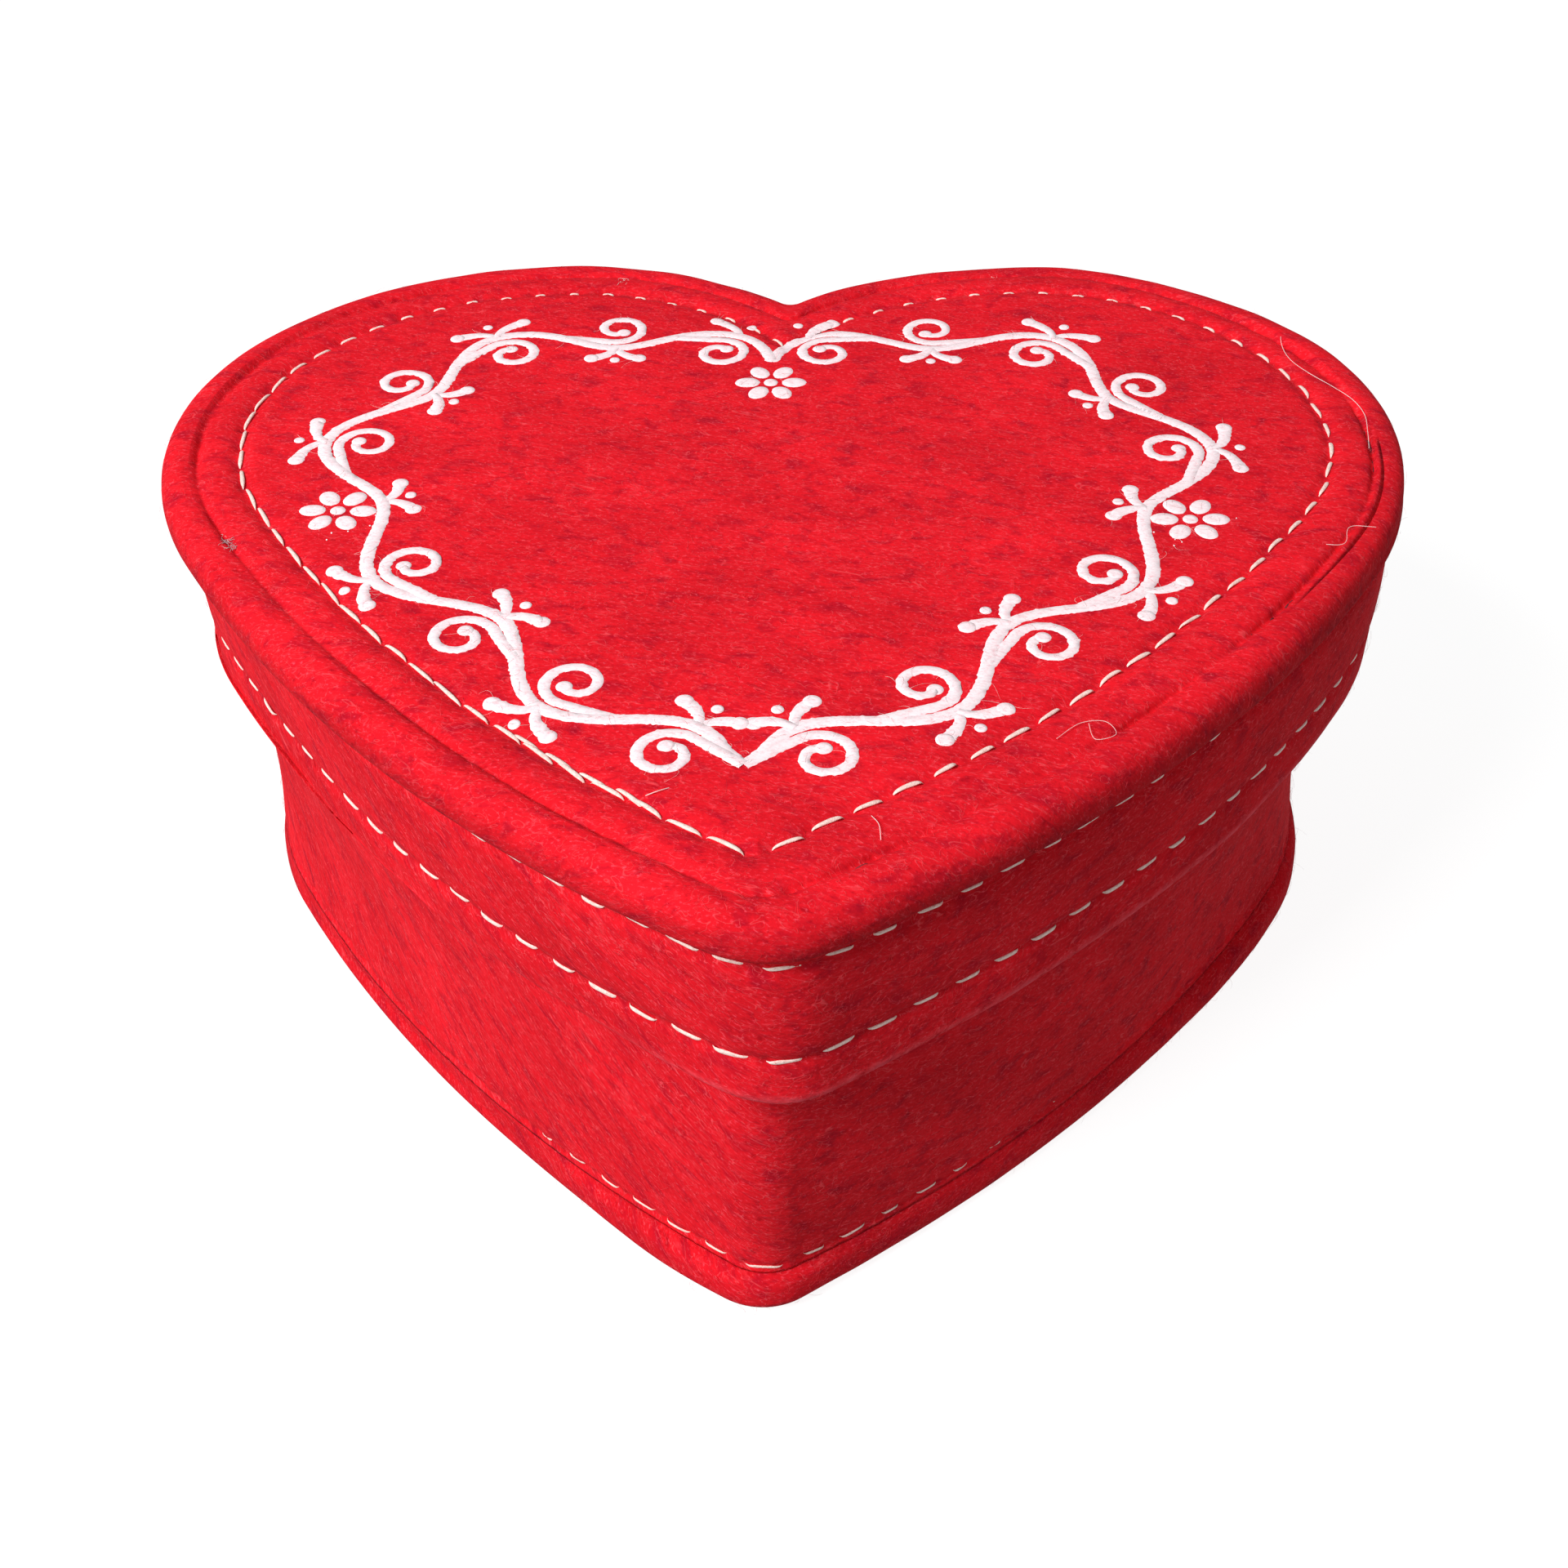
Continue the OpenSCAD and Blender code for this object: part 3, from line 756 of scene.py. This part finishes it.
def lid_band():
    """Felt band of the lid, drawn in along its two rows of stitches, with a raw lower edge."""
    profile = band_profile(BAND_IN, 2.0, LID_EDGE, LIP_Z, (UPPER_ROW, RIM_ROW))
    grid = loft(profile)
    outer = len(profile) - 4
    face = grid[:outer]
    normals = grid_normals(grid, closed=True)[:outer]
    height = np.clip((face[..., 2] - LID_EDGE) / (LIP_Z - LID_EDGE), 0, 1)
    puff = 0.25 * np.sin(math.pi * np.clip((face[..., 2] - RIM_ROW) / (UPPER_ROW - RIM_ROW), 0, 1))
    out = puff + (waves(face, 30.0, 1.7) * 0.3 + waves(face, 9.0, 6.1) * 0.1) * (1 - height**6)
    lean = 0.55 * unit(face[..., :2])[..., 0] * (1 - height**4)
    lean += swell(face, -78, -12, 40, -0.9) + swell(face, -88, 30, 25, 0.5)
    lean += 0.7 * (1 - height) ** 3 * np.clip(face[..., 0] / 20 + 1, 0, 1) * np.clip(-face[..., 1] / 30, 0, 1)
    face += normals * (out + lean)[..., None]
    face[..., 0] += tip_lean(face)
    grid[..., 2] += tip_lift(grid) * np.clip((grid[..., 2] - 57) / 9, 0, 1)
    frayed = waves(grid, 5.0, 4.4) * 0.16 + waves(grid, 1.3, 2.2) * 0.07
    grid[..., 2] += np.where(grid[..., 2] < LID_EDGE + 1, frayed, 0)
    uv = wall_uv(np.vstack([grid, grid[:1]]), BAND_IN)
    face[:] = press(face, grid_normals(face), np.vstack([holes_of(upper), holes_of(rim)]), 0.4, 0.8)
    obj = shell("lid_band_felt_soft", grid, uv, closed=True, body="lid", slot="red_felt", material=band_felt,
                replaces=("lid_band_felt",))
    along(BAND_IN)[-1] * MM
    return face


# --- The box ---


def bulge(points):
    """How far the wall stands out below the lid."""
    z = points[..., 2]
    share = np.clip((z - BASE_H) / (LID_EDGE - 2 - BASE_H), 0, 1)
    out = 0.3 + 0.35 * waves(points, 42.0, 9.3) + 0.12 * waves(points, 12.0, 7.7)
    out += swell(points, 84, 15, 42, -2.2) + swell(points, -72, -12, 44, -2.3)
    return out * np.sin(math.pi * share)


WALL_FELT_TOP, WALL_TURN_IN = 68.2, 4.0  # the felt turns in over the card at the rim


def box_wall():
    """Felt wall of the box; it turns in over the card at the rim."""
    z = np.concatenate([np.arange(BASE_H, 11, 0.4), np.arange(11, 61, 1.3), np.arange(61, 66.3, 0.6)])
    rows = (BOTTOM_ROW, WALL_RIM_ROW)
    outside = [(WALL_IN + sum(0.25 * math.exp(-(((h - r) / 0.85) ** 2)) for r in rows), h) for h in z]
    rim_turn = [
        (6.2, 66.7), (6.32, 67.3), (6.7, 67.85), (7.3, 68.15), (8.2, 68.2), (9.1, 68.15), (9.7, 67.85),
        (10.08, 67.3), (10.2, 66.7), (10.2, 66.25), (8.25, 66.2), (8.2, 60), (8.2, 9),
    ]
    grid = loft(outside + rim_turn)
    face = grid[: len(outside)]
    normals = grid_normals(grid, closed=True)[: len(outside)]
    face += normals * bulge(face)[..., None]
    uv = wall_uv(np.vstack([grid, grid[:1]]), WALL_IN)
    face[:] = press(face, grid_normals(face), np.vstack([holes_of(low), holes_of(inner)]), 0.4, 0.8)
    obj = shell("box_wall_felt", grid, uv, closed=True, body="box", slot="red_felt", material=wall_felt,
                replaces=("wall_felt",))
    flat = (along(WALL_IN)[-1] * MM, (WALL_FELT_TOP - BASE_H + WALL_TURN_IN) * MM)
    return face


def box_base():
    """Padded base: a felt shell with a rolled edge round the foot of the wall."""
    inside = [(13, 2.05), (7.25, 2.05), (7.2, 3), (7.2, 4.8), (7.4, 5.0), (8.25, 5.0), (8.3, 6.4)]
    roll = smooth(
        [(13, 0.0), (9.5, 0.0), (7.4, 0.02), (6.2, 0.3), (5.5, 1.0), (5.22, 2.0), (5.25, 3.2), (5.5, 4.5),
         (5.95, 5.6), (6.6, 6.2), (7.4, 6.45), (8.2, 6.5)], 4)
    profile = roll.tolist() + inside[::-1]
    grid = loft(profile, 1.6)
    grid = np.vstack([shrink(grid[0], [0.03, 0.35, 0.7]), grid, shrink(grid[-1], [0.6, 0.1])])
    rows = slice(3, 3 + len(roll))
    face = grid[rows]
    lift = np.clip(face[..., 2] / 2.5, 0, 1) * np.clip((BASE_H - face[..., 2]) / 1.5, 0, 1)
    push = waves(face, 22.0, 6.6) * 0.22 + waves(face, 6.0, 1.9) * 0.08
    push += swell(face, -14, -74, 20, 1.9) + swell(face, 76, -10, 28, 1.4) + swell(face, -60, -30, 36, -1.9)
    face += grid_normals(grid)[rows] * (push * lift)[..., None]
    uv = wall_uv(grid, BASE_IN)
    obj = shell("box_base_felt", grid, uv, caps=True, body="box", slot="red_felt", material=base_felt,
                replaces=("bottom_felt",))
    return face


# --- Linings and wadding ---


def lining_band(name, d, low_z, high_z, body, replaces):
    z = np.linspace(low_z, high_z, 22)
    t = 0.5
    profile = [(d, h) for h in z] + [(d + t * 0.8, high_z)] + [(d + t, h) for h in z[::-1]]
    profile += [(d + t * 0.8, low_z)]
    grid = loft(profile)
    flat = (along(d)[-1] * MM, (high_z - low_z) * MM)
    uv = wall_uv(np.vstack([grid, grid[:1]]), d)
    inside = grid[23:-1]
    inside += unit((STAR3 - inside) * [1, 1, 0]) * (
        np.abs(waves(inside, 16.0, d)) * 0.12)[..., None]
    obj = shell(name, grid, uv, closed=True, body=body, slot="lining_felt", material=lining_felt,
                replaces=replaces)
    return obj


STAR3 = np.append(STAR, 0.0)


def lining_panel(name, d, low_z, high_z, body, replaces, up):
    """Flat piece of lining felt; the side that shows is up or down."""
    rim = [(d + 0.1, low_z), (d, (low_z + high_z) / 2), (d + 0.1, high_z), (d + 3, high_z)]
    grid = loft([(12, low_z), (d + 3, low_z)] + rim)
    grid = np.vstack([shrink(grid[0], np.linspace(0.04, 1, 14)[:-1]), grid,
                      shrink(loft([(12, high_z)])[0], np.linspace(1, 0.04, 14))])
    p, _ = outline(d)
    side = grid[-14:] if up else grid[:14]
    side[..., 2] += (1 if up else -1) * np.abs(waves(side[..., :2], 14.0, d)) * 0.12
    left = grid[..., :2] * MM
    uv = (left, np.roll(left, -1, 1))
    obj = shell(name, grid, uv, caps=True, body=body, slot="lining_felt", material=lining_felt,
                replaces=replaces)
    return obj


def wadding_pad(name, d, low_z, high_z, body, replaces):
    profile = [(12, low_z), (d + 0.9, low_z), (d + 0.15, low_z + 0.5), (d + 0.05, (low_z + high_z) / 2),
               (d + 0.15, high_z - 0.5), (d + 0.9, high_z), (12, high_z)]
    grid = loft(profile)
    grid = np.vstack([shrink(grid[0], [0.05, 0.5]), grid, shrink(grid[-1], [0.5, 0.05])])
    left = grid[..., :2] * MM
    obj = shell(name, grid, (left, np.roll(left, -1, 1)), caps=True, body=body, slot="wadding",
                material=wadding, replaces=replaces)
    return obj


# --- The print: a wreath of running vine, as in the CAD, given thickness and a ragged edge ---

WREATH_SHARE, SWINGS, SWING_W = 0.66, 10, 4.2
CURL_R, CURL_GAP, CURL_TURN = 4.3, 1.9, 400
LEAF_L, LEAF_W, BERRY_D = 3.2, 2.2, 1.6
FLOWER_R, FLOWER_SWING, PETALS = 5.4, 4, 6
STEM_W, CURL_W = 1.95, 1.75


def wreath_at(n, out):
    """Place n swings of the stem from the tip, and the distance out from the wreath's middle line."""
    arcs = (
        ((0, tip_middle(0)), tip_radius(0), -math.pi / 2, tip_end(0)),
        (SIDE_C, SIDE_R, tip_end(0), -SIDE_TURN),
        ((LOBE_X, LOBE_Y), LOBE_R, -SIDE_TURN, math.acos(-LOBE_X / LOBE_R)),
    )
    run = n / SWINGS * sum(r * (end - start) for _, r, start, end in arcs)
    for c, r, start, end in arcs:
        a = start + run / r
        if a < end:
            break
        run -= r * (end - start)
    out_way = np.array([math.cos(a), math.sin(a)])
    return WREATH_SHARE * (np.array(c) + r * out_way) + out * out_way


def tendril(p, c, r, turn, share):
    away = p - c
    start = math.atan2(away[1], away[0]) + math.copysign(
        math.acos(min(1, r / float(np.hypot(*away)))), turn)
    n = math.ceil(abs(turn) / 9)
    t = np.arange(n + 1) / n
    a = start + math.radians(turn) * t
    s = r * (1 - (1 - share) * t)
    spiral = c + s[:, None] * np.stack([np.cos(a), np.sin(a)], 1)
    lead = p + (spiral[0] - p) * (np.arange(4) / 4)[:, None]
    return np.vstack([lead, spiral])


class Ink:
    """Collects the strokes of the print as strips and patches."""

    def __init__(self):
        self.verts, self.faces, self.strokes = [], [], 0
        self.flip = 1

    def put(self, xy, rise):
        """Adds vertices at the print's own place on the felt; returns the first one's index."""
        xy = np.asarray(xy) * [self.flip, 1] + PRINT_SHIFT
        z = top_z(xy) + rise
        first = len(self.verts)
        self.verts += np.column_stack([xy, z]).tolist()
        return first

    def layer(self):
        self.strokes += 1
        return 0.012 * (self.strokes % 5)

    def strip(self, p, w0, w1, round_start=False):
        """Ribbon along p, with a rounded end, a domed section and slightly ragged edges."""
        run = np.concatenate([[0], np.cumsum(np.linalg.norm(np.diff(p, axis=0), axis=1))])
        n = max(6, int(run[-1] / 0.38))
        s = np.linspace(0, run[-1], n)
        q = np.stack([np.interp(s, run, p[:, k]) for k in (0, 1)], 1)
        across = unit(np.gradient(q, axis=0))[:, ::-1] * [-1, 1]
        w = w0 + (w1 - w0) * s / run[-1]
        ends = np.minimum(1, (run[-1] - s) / (w1 / 2))
        if round_start:
            ends = np.minimum(ends, s / (w0 / 2))
        w = w * np.sqrt(np.maximum(1 - (1 - np.clip(ends, 0, 1)) ** 2, 0.02))
        base, flat = self.layer(), []
        for share in (-1, -0.84, 0, 0.84, 1):
            edge = abs(share) == 1
            fray = rng.normal(0, 0.075 if edge else 0.0, n)
            offset = (w / 2 * share + np.sign(share) * fray)[:, None]
            rise = (-0.05 if edge else 0.07) + base
            flat.append(self.put(q + across * offset, rise))
        for a, b in zip(flat[:-1], flat[1:]):
            for i in range(n - 1):
                face = (a + i, a + i + 1, b + i + 1, b + i)
                self.faces.append(face if self.flip < 0 else face[::-1])

    def patch(self, ring, middle):
        """Filled shape round its middle."""
        ring = np.asarray(ring, float)
        n, base = len(ring), self.layer()
        fray = 1 + rng.normal(0, 0.02, (n, 1))
        rows = [
            self.put(middle + (ring - middle) * fray, base - 0.05),
            self.put(middle + (ring - middle) * 0.92, base + 0.07),
            self.put(middle + (ring - middle) * 0.45, base + 0.07),
        ]
        centre = self.put([middle], base + 0.07)
        turn = self.flip > 0
        for i in range(n):
            k = (i + 1) % n
            for a, b in zip(rows[:-1], rows[1:]):
                face = (a + i, a + k, b + k, b + i)
                self.faces.append(face if turn else face[::-1])
            face = (rows[-1] + i, rows[-1] + k, centre)
            self.faces.append(face if turn else face[::-1])

    def dot(self, c, r, n=20):
        a = np.arange(n) / n * 2 * math.pi
        c = np.asarray(c, float)
        self.patch(c + r * np.stack([np.cos(a), np.sin(a)], 1), c)

    def curl(self, p, c, turn):
        points = tendril(p, c, CURL_R, turn, 0.36)
        self.strip(points, CURL_W, CURL_W * 0.8)
        self.dot(points[-1], CURL_W * 0.62)

    def leaf(self, p):
        a, b, c = p
        t = np.linspace(0, 1, 16)[:, None]
        line = (1 - t) ** 2 * a + 2 * t * (1 - t) * b + t * t * c
        self.strip(line, LEAF_W * 0.5, LEAF_W)
        self.dot(c, LEAF_W * 0.54)

    def flower(self, c):
        """Plain flower: round petals round a middle."""
        self.dot(c, FLOWER_R * 0.2)
        a = np.arange(24) / 24 * 2 * math.pi
        petal = FLOWER_R * np.stack([0.65 + 0.35 * np.cos(a), 0.26 * np.sin(a)], 1)
        for k in range(PETALS):
            turn = 2 * math.pi * k / PETALS
            spin = np.array([(math.cos(turn), math.sin(turn)), (-math.sin(turn), math.cos(turn))])
            self.patch(c + petal @ spin, c + FLOWER_R * np.array([0.65, 0]) @ spin)

    def specks(self, c, r, count):
        """Tiny stray spots of ink round a place."""
        for _ in range(count):
            a, away = rng.uniform(0, 2 * math.pi), r * rng.uniform(0.9, 1.25)
            spot = c + away * np.array([math.cos(a), math.sin(a)])
            self.dot(spot, rng.uniform(0.06, 0.16), 6)


def vine(k):
    """One half of the wreath, from the tip to the cleft."""
    n = np.linspace(0, SWINGS, SWINGS * 12 + 1)
    k.strip(np.array([wreath_at(s, -SWING_W * math.sin(s * math.pi)) for s in n]), STEM_W, STEM_W, True)
    for i in range(SWINGS):
        side = 1 if i % 2 else -1
        middle = wreath_at(i + 0.5, side * (SWING_W - CURL_GAP - CURL_R))
        if i == FLOWER_SWING:
            k.flower(middle)
            k.specks(middle, FLOWER_R * 1.1, 7)
        else:
            k.curl(wreath_at(i, 0), middle, side * CURL_TURN)
        for way in (-1, 1)[: 1 if i == SWINGS - 1 else 2]:
            k.leaf([
                wreath_at(i + 0.5, side * SWING_W),
                wreath_at(i + 0.5 + way * 0.05, side * (SWING_W + LEAF_L * 0.8)),
                wreath_at(i + 0.5 + way * 0.26, side * (SWING_W + LEAF_L)),
            ])
        k.dot(wreath_at(i + 0.5, side * (SWING_W + LEAF_L + BERRY_D / 2)), BERRY_D / 2)


def lid_print():
    k = Ink()
    for k.flip in (1, -1):
        vine(k)
    k.flower(wreath_at(SWINGS, 0) - [0, STEM_W / 2 + FLOWER_R])
    mesh_object("vine_print", k.verts, k.faces, body="lid", slot="white_print", material=ink,
                replaces=("lid_print",))
    roots = np.array(k.verts)[rng.choice(len(k.verts), 320)]
    fibres("print_hairs", roots, np.tile([0, 0, 1.0], (len(roots), 1)), "lid", "white_print", pale_hair,
           long=(0.8, 3.2), thick=0.055, stand=0.05)


# --- Loose fibres ---


def fluff_on(faces_of, count):
    """Roots and normals of fibres, spread over grids of felt."""
    roots, normals = [], []
    for grid, share in faces_of:
        n = grid_normals(grid)
        a, b = grid[:-1, :-1], np.cross(grid[1:, :-1] - grid[:-1, :-1], grid[:-1, 1:] - grid[:-1, :-1])
        area = np.linalg.norm(b, axis=-1).ravel()
        pick = rng.choice(area.size, int(count * share), p=area / area.sum())
        roots.append(a.reshape(-1, 3)[pick] + rng.uniform(-0.3, 0.3, (len(pick), 3)))
        normals.append(n[:-1, :-1].reshape(-1, 3)[pick])
    return np.vstack(roots), np.vstack(normals)


def fibres(name, roots, normals, body, slot, material, long=(1.2, 4.5), thick=0.045, stand=0.25):
    """Fine curled fibres that lie on the felt or stand a little off it."""
    count, rows = len(roots), 7
    t = np.linspace(0, 1, rows)[None, :, None]
    side = unit(np.cross(normals, rng.normal(size=(count, 3))))
    other = np.cross(normals, side)
    length = rng.uniform(*long, (count, 1, 1)) * rng.uniform(0.5, 1, (count, 1, 1))
    rise = np.abs(rng.normal(stand, stand, (count, 1, 1)))
    curl = rng.normal(0, 0.45, (count, 1, 1))
    lean = rng.normal(0, 0.25, (count, 1, 1))
    path = (
        roots[:, None] - normals[:, None] * 0.06
        + side[:, None] * length * t
        + other[:, None] * length * (curl * t**2 + lean * np.sin(3 * t))
        + normals[:, None] * (rise * np.sin(math.pi * t * 0.85) * np.minimum(length / 2, 1.3) + 0.08)
    )
    path[..., 2] = np.maximum(path[..., 2], 0.2)
    taper = (1 - 0.6 * t) * thick / 2
    return tubes(name, path, other[:, None] * taper, normals[:, None] * taper, sides=3, body=body,
                 slot=slot, material=material)


def strand(name, points, diameter, body, slot, material):
    path = smooth(points, 10)[None]
    t = unit(np.gradient(path[0], axis=0))
    side = unit(np.cross(t, [0.1, 0.2, 1.0]))[None]
    up = np.cross(side[0], t)[None]
    return tubes(name, path, side * diameter / 2, up * diameter / 2, sides=6, body=body, slot=slot,
                 material=material)


def tuft(name, spots, count, size, material, slot="red_felt", thick=0.05):
    """Small tangles of short fibres, each wandering its own way."""
    paths, rows = [], 12
    for spot in spots:
        for _ in range(count):
            heading = rng.uniform(0, 2 * math.pi) + np.cumsum(rng.normal(0, 0.42, rows))
            step = size * rng.uniform(0.04, 0.16)
            walk = np.cumsum(np.stack([np.cos(heading), np.sin(heading), heading * 0], 1) * step, 0)
            walk[:, 2] = np.abs(np.sin(np.linspace(0, 3, rows))) * size * rng.uniform(0.02, 0.18)
            paths.append(np.array(spot) + rng.normal(0, size * 0.22, 3) * [1, 1, 0.1] + walk)
    paths = np.array(paths)
    along_it = unit(np.gradient(paths, axis=1))
    side = unit(np.cross(along_it, [0.3, 0.1, 1.0]))
    up = np.cross(side, along_it)
    return tubes(name, paths, side * thick / 2, up * thick / 2, sides=3, body="lid", slot=slot,
                 material=material)


# --- Building ---


def on_top(x, y, lift=0.3):
    return (x, y, float(top_z(np.array([x, y]))) + lift)


def swaying(start, end, sway):
    """Points on the lid of a loose hair that sways about a straight line."""
    start, run = np.array(start), np.subtract(end, start)
    t = np.linspace(0, 1, 9)[:, None]
    p = start + run * t + unit(run[::-1] * [1, -1]) * sway * np.sin(7 * t)
    return [on_top(x, y, 0.1) for x, y in p]


def band_lift(row, face):
    """Stitches keep to the felt: each moves out to the height of the nearest point of the band."""
    c, t, n, length = row
    flat = face.reshape(-1, 3)
    tree = KDTree(len(flat))
    for k, q in enumerate(flat):
        tree.insert(Vector(q), k)
    tree.balance()
    near = np.array([flat[tree.find(Vector(q))[1]] for q in c])
    shift = np.einsum("ij,ij->i", near - c, n)
    return c + n * shift[:, None], t, n, length


def sunk_sides(row):
    """Along the sides and the back of the box, the lowest row has almost sunk into the felt."""
    c, t, n, length = row
    away = np.clip((np.hypot(c[:, 0], c[:, 1] + 84) - 25) / 30, 0, 1)
    return c - n * (0.27 * away)[:, None], t, n, length * (1 - 0.4 * away)


lid_face = lid_pad()
band_face = lid_band()
wall_face = box_wall()
base_face = box_base()

lining_band("lid_band_lining_felt", 5.0, 47.0, 67.5, "lid", ("lid_band_lining",))
lining_band("wall_lining_felt", 9.7, 5.5, 66.2, "box", ("wall_lining",))
lining_panel("lid_top_lining_felt", 5.5, 68.5, 69.0, "lid", ("lid_top_lining",), up=False)
lining_panel("floor_lining_felt", 8.2, 5.0, 5.5, "box", ("floor_lining",), up=True)
wadding_pad("lid_wadding_pad", 2.0, 70.5, 72.8, "lid", ("lid_top_wadding",))
wadding_pad("base_wadding_pad", 7.2, 3.5, 5.0, "box", ("bottom_wadding",))
for name in ("lid_top_board", "lid_band_board", "wall_board", "bottom_board"):
    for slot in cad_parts[name].material_slots:
        slot.material = card

quilt_all = [np.concatenate(pair) for pair in zip(quilt, backtack())]
stitches("quilting_thread", *quilt_all, 0.6, 0.34, "lid", "white_thread", white_thread,
         ("lid_quilting_stitches",), 0.12, 0.05)
stitches("sunk_seam_thread", *groove, 0.4, 0.3, "lid", "dark_thread", dark_thread,
         ("lid_groove_stitches",), 0.1)
stitches("lip_thread", *band_lift(upper, band_face), 0.58, 0.32, "lid", "white_thread", white_thread,
         ("lid_upper_stitches",), 0.03, 0.05, 0.02)
stitches("rim_thread", *band_lift(rim, band_face), 0.66, 0.36, "lid", "white_thread", white_thread,
         ("lid_rim_stitches",), 0.06, 0.05, 0.03)
stitches("base_thread", *sunk_sides(band_lift(low, wall_face)), 0.46, 0.26, "box", "white_thread",
         white_thread, ("wall_bottom_stitches",), 0.04, 0.04, 0.02)
stitches("wall_rim_thread", *inner, 0.85, 0.5, "box", "white_thread", white_thread,
         ("wall_rim_stitches",), 0.1)


def join(name, d, from_z, to_z, body, replaces):
    """Short cross stitches that close a band in the cleft."""
    z = np.arange(from_z, to_z + 0.01, 6.0)
    y = outline(d)[0][HALF, 1]
    c = np.column_stack([z * 0, z * 0 + y + 0.2, z])
    n = np.tile([0, 1.0, 0], (len(z), 1))
    t = np.tile([-1.0, 0, 0.12], (len(z), 1))
    length = np.full(len(z), 4.0)
    stitches(name, c, unit(t), n, length, 0.8, 0.6, body, "red_thread", red_thread, replaces, 0.9)


join("lid_join_thread", BAND_IN, 55.5, 63.5, "lid", ("lid_join_stitches",))
join("wall_join_thread", WALL_IN, 11.5, 59.2, "box", ("wall_join_stitches",))
lid_print()

share = 1.0
roots, normals = fluff_on([(lid_face[:-2], 0.62), (band_face, 0.38)], 6500 * share)
fibres("lid_fluff", roots, normals, "lid", "red_felt", fluff, long=(0.8, 3.2), thick=0.03, stand=0.14)
roots, normals = fluff_on([(wall_face[:46], 0.75), (base_face[base_face[:, 0, 2] > 2], 0.25)], 5000 * share)
fibres("box_fluff", roots, normals, "box", "red_felt", fluff, long=(0.8, 3.6), thick=0.03, stand=0.16)

strand("long_hair", swaying((77, 55), (85, 20), 2.2), 0.09, "lid", "white_thread", pale_hair)
strand("short_hair", swaying((73, -5), (80, 0), 1.2), 0.08, "lid", "white_thread", pale_hair)
strand("hair_loop", [on_top(34, -47), on_top(37, -44), on_top(40, -43.6), on_top(41, -46), on_top(38.5, -47),
                     on_top(38, -44)], 0.07, "lid", "white_thread", pale_hair)
seam = [(-9 + 1.1 * k, -68 - 0.75 * k, 74.1) for k in range(7)]
tuft("seam_lint", [(-74, -6, 74.2), (-73, -7.6, 74.2), *seam], 14, 1.2, lint, thick=0.06)
tuft("pale_lint", [(-28, 71, 74.6), (34, 74, 74.4)], 8, 1.4, pale_hair, thick=0.06)
strand("forked_hair", [on_top(12.4, -61.2, 0.1), on_top(13.2, -63), on_top(13.4, -65.4, 0.1)], 0.08,
       "lid", "white_thread", pale_hair)
strand("loose_end", [on_top(-13, -58.2, 0), on_top(-11.6, -57.9), on_top(-10.4, -57.0, 0)], 0.12,
       "lid", "white_thread", pale_hair)


# --- Camera, floor and light ---

FOCAL, SENSOR = 43.8, 36.0
CAMERA_AT = (0.0083, -0.2200, 0.2155)
CAMERA_DOWN, CAMERA_TURN, CAMERA_ROLL = math.radians(40.516), math.radians(-2.011), math.radians(-0.497)


def add_camera():
    data = bpy.data.cameras.new("camera")
    data.lens, data.sensor_width = FOCAL, SENSOR
    data.clip_start, data.clip_end = 0.01, 20
    cam = bpy.data.objects.new("camera", data)
    bpy.context.scene.collection.objects.link(cam)
    ahead = Vector((math.sin(CAMERA_TURN) * math.cos(CAMERA_DOWN),
                    math.cos(CAMERA_TURN) * math.cos(CAMERA_DOWN), -math.sin(CAMERA_DOWN)))
    right = Vector((math.cos(CAMERA_TURN), -math.sin(CAMERA_TURN), 0))
    up = right.cross(ahead)
    x = right * math.cos(CAMERA_ROLL) + up * math.sin(CAMERA_ROLL)
    y = up * math.cos(CAMERA_ROLL) - right * math.sin(CAMERA_ROLL)
    turn = Matrix((x, y, -ahead)).transposed()
    cam.matrix_world = Matrix.Translation(CAMERA_AT) @ turn.to_4x4()
    bpy.context.scene.camera = cam


def add_light(name, at, toward, size, power, colour=(1, 1, 1)):
    data = bpy.data.lights.new(name, "AREA")
    data.size, data.energy, data.color = size, power, colour
    lamp = bpy.data.objects.new(name, data)
    lamp.location = at
    lamp.rotation_euler = (Vector(toward) - Vector(at)).to_track_quat("-Z", "Y").to_euler()
    bpy.context.scene.collection.objects.link(lamp)


def add_floor():
    mesh = bpy.data.meshes.new("floor")
    r = 6.0
    mesh.from_pydata([(-r, -r, 0), (r, -r, 0), (r, r, 0), (-r, r, 0)], [], [(0, 1, 2, 3)])
    floor = bpy.data.objects.new("floor", mesh)
    bpy.context.scene.collection.objects.link(floor)
    m, tree, shader = new_material("pale_floor", 0.9)
    shader.inputs["Base Color"].default_value = (0.2, 0.2, 0.2, 1)
    shader.inputs["Emission Color"].default_value = (1, 1, 1, 1)
    shader.inputs["Emission Strength"].default_value = 0.9
    mesh.materials.append(m)
    floor.visible_diffuse = False
    floor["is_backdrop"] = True


def add_world():
    world = bpy.data.worlds.new("studio")
    world.use_nodes = True
    background = world.node_tree.nodes["Background"]
    background.inputs["Color"].default_value = (1, 1, 1, 1)
    background.inputs["Strength"].default_value = 0.34
    bpy.context.scene.world = world


add_camera()
add_floor()
add_world()
add_light("key", (-0.66, -0.54, 0.84), (0, 0, 0.03), 0.45, 15.5)
bpy.context.scene.view_settings.view_transform = "Standard"

low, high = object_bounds()
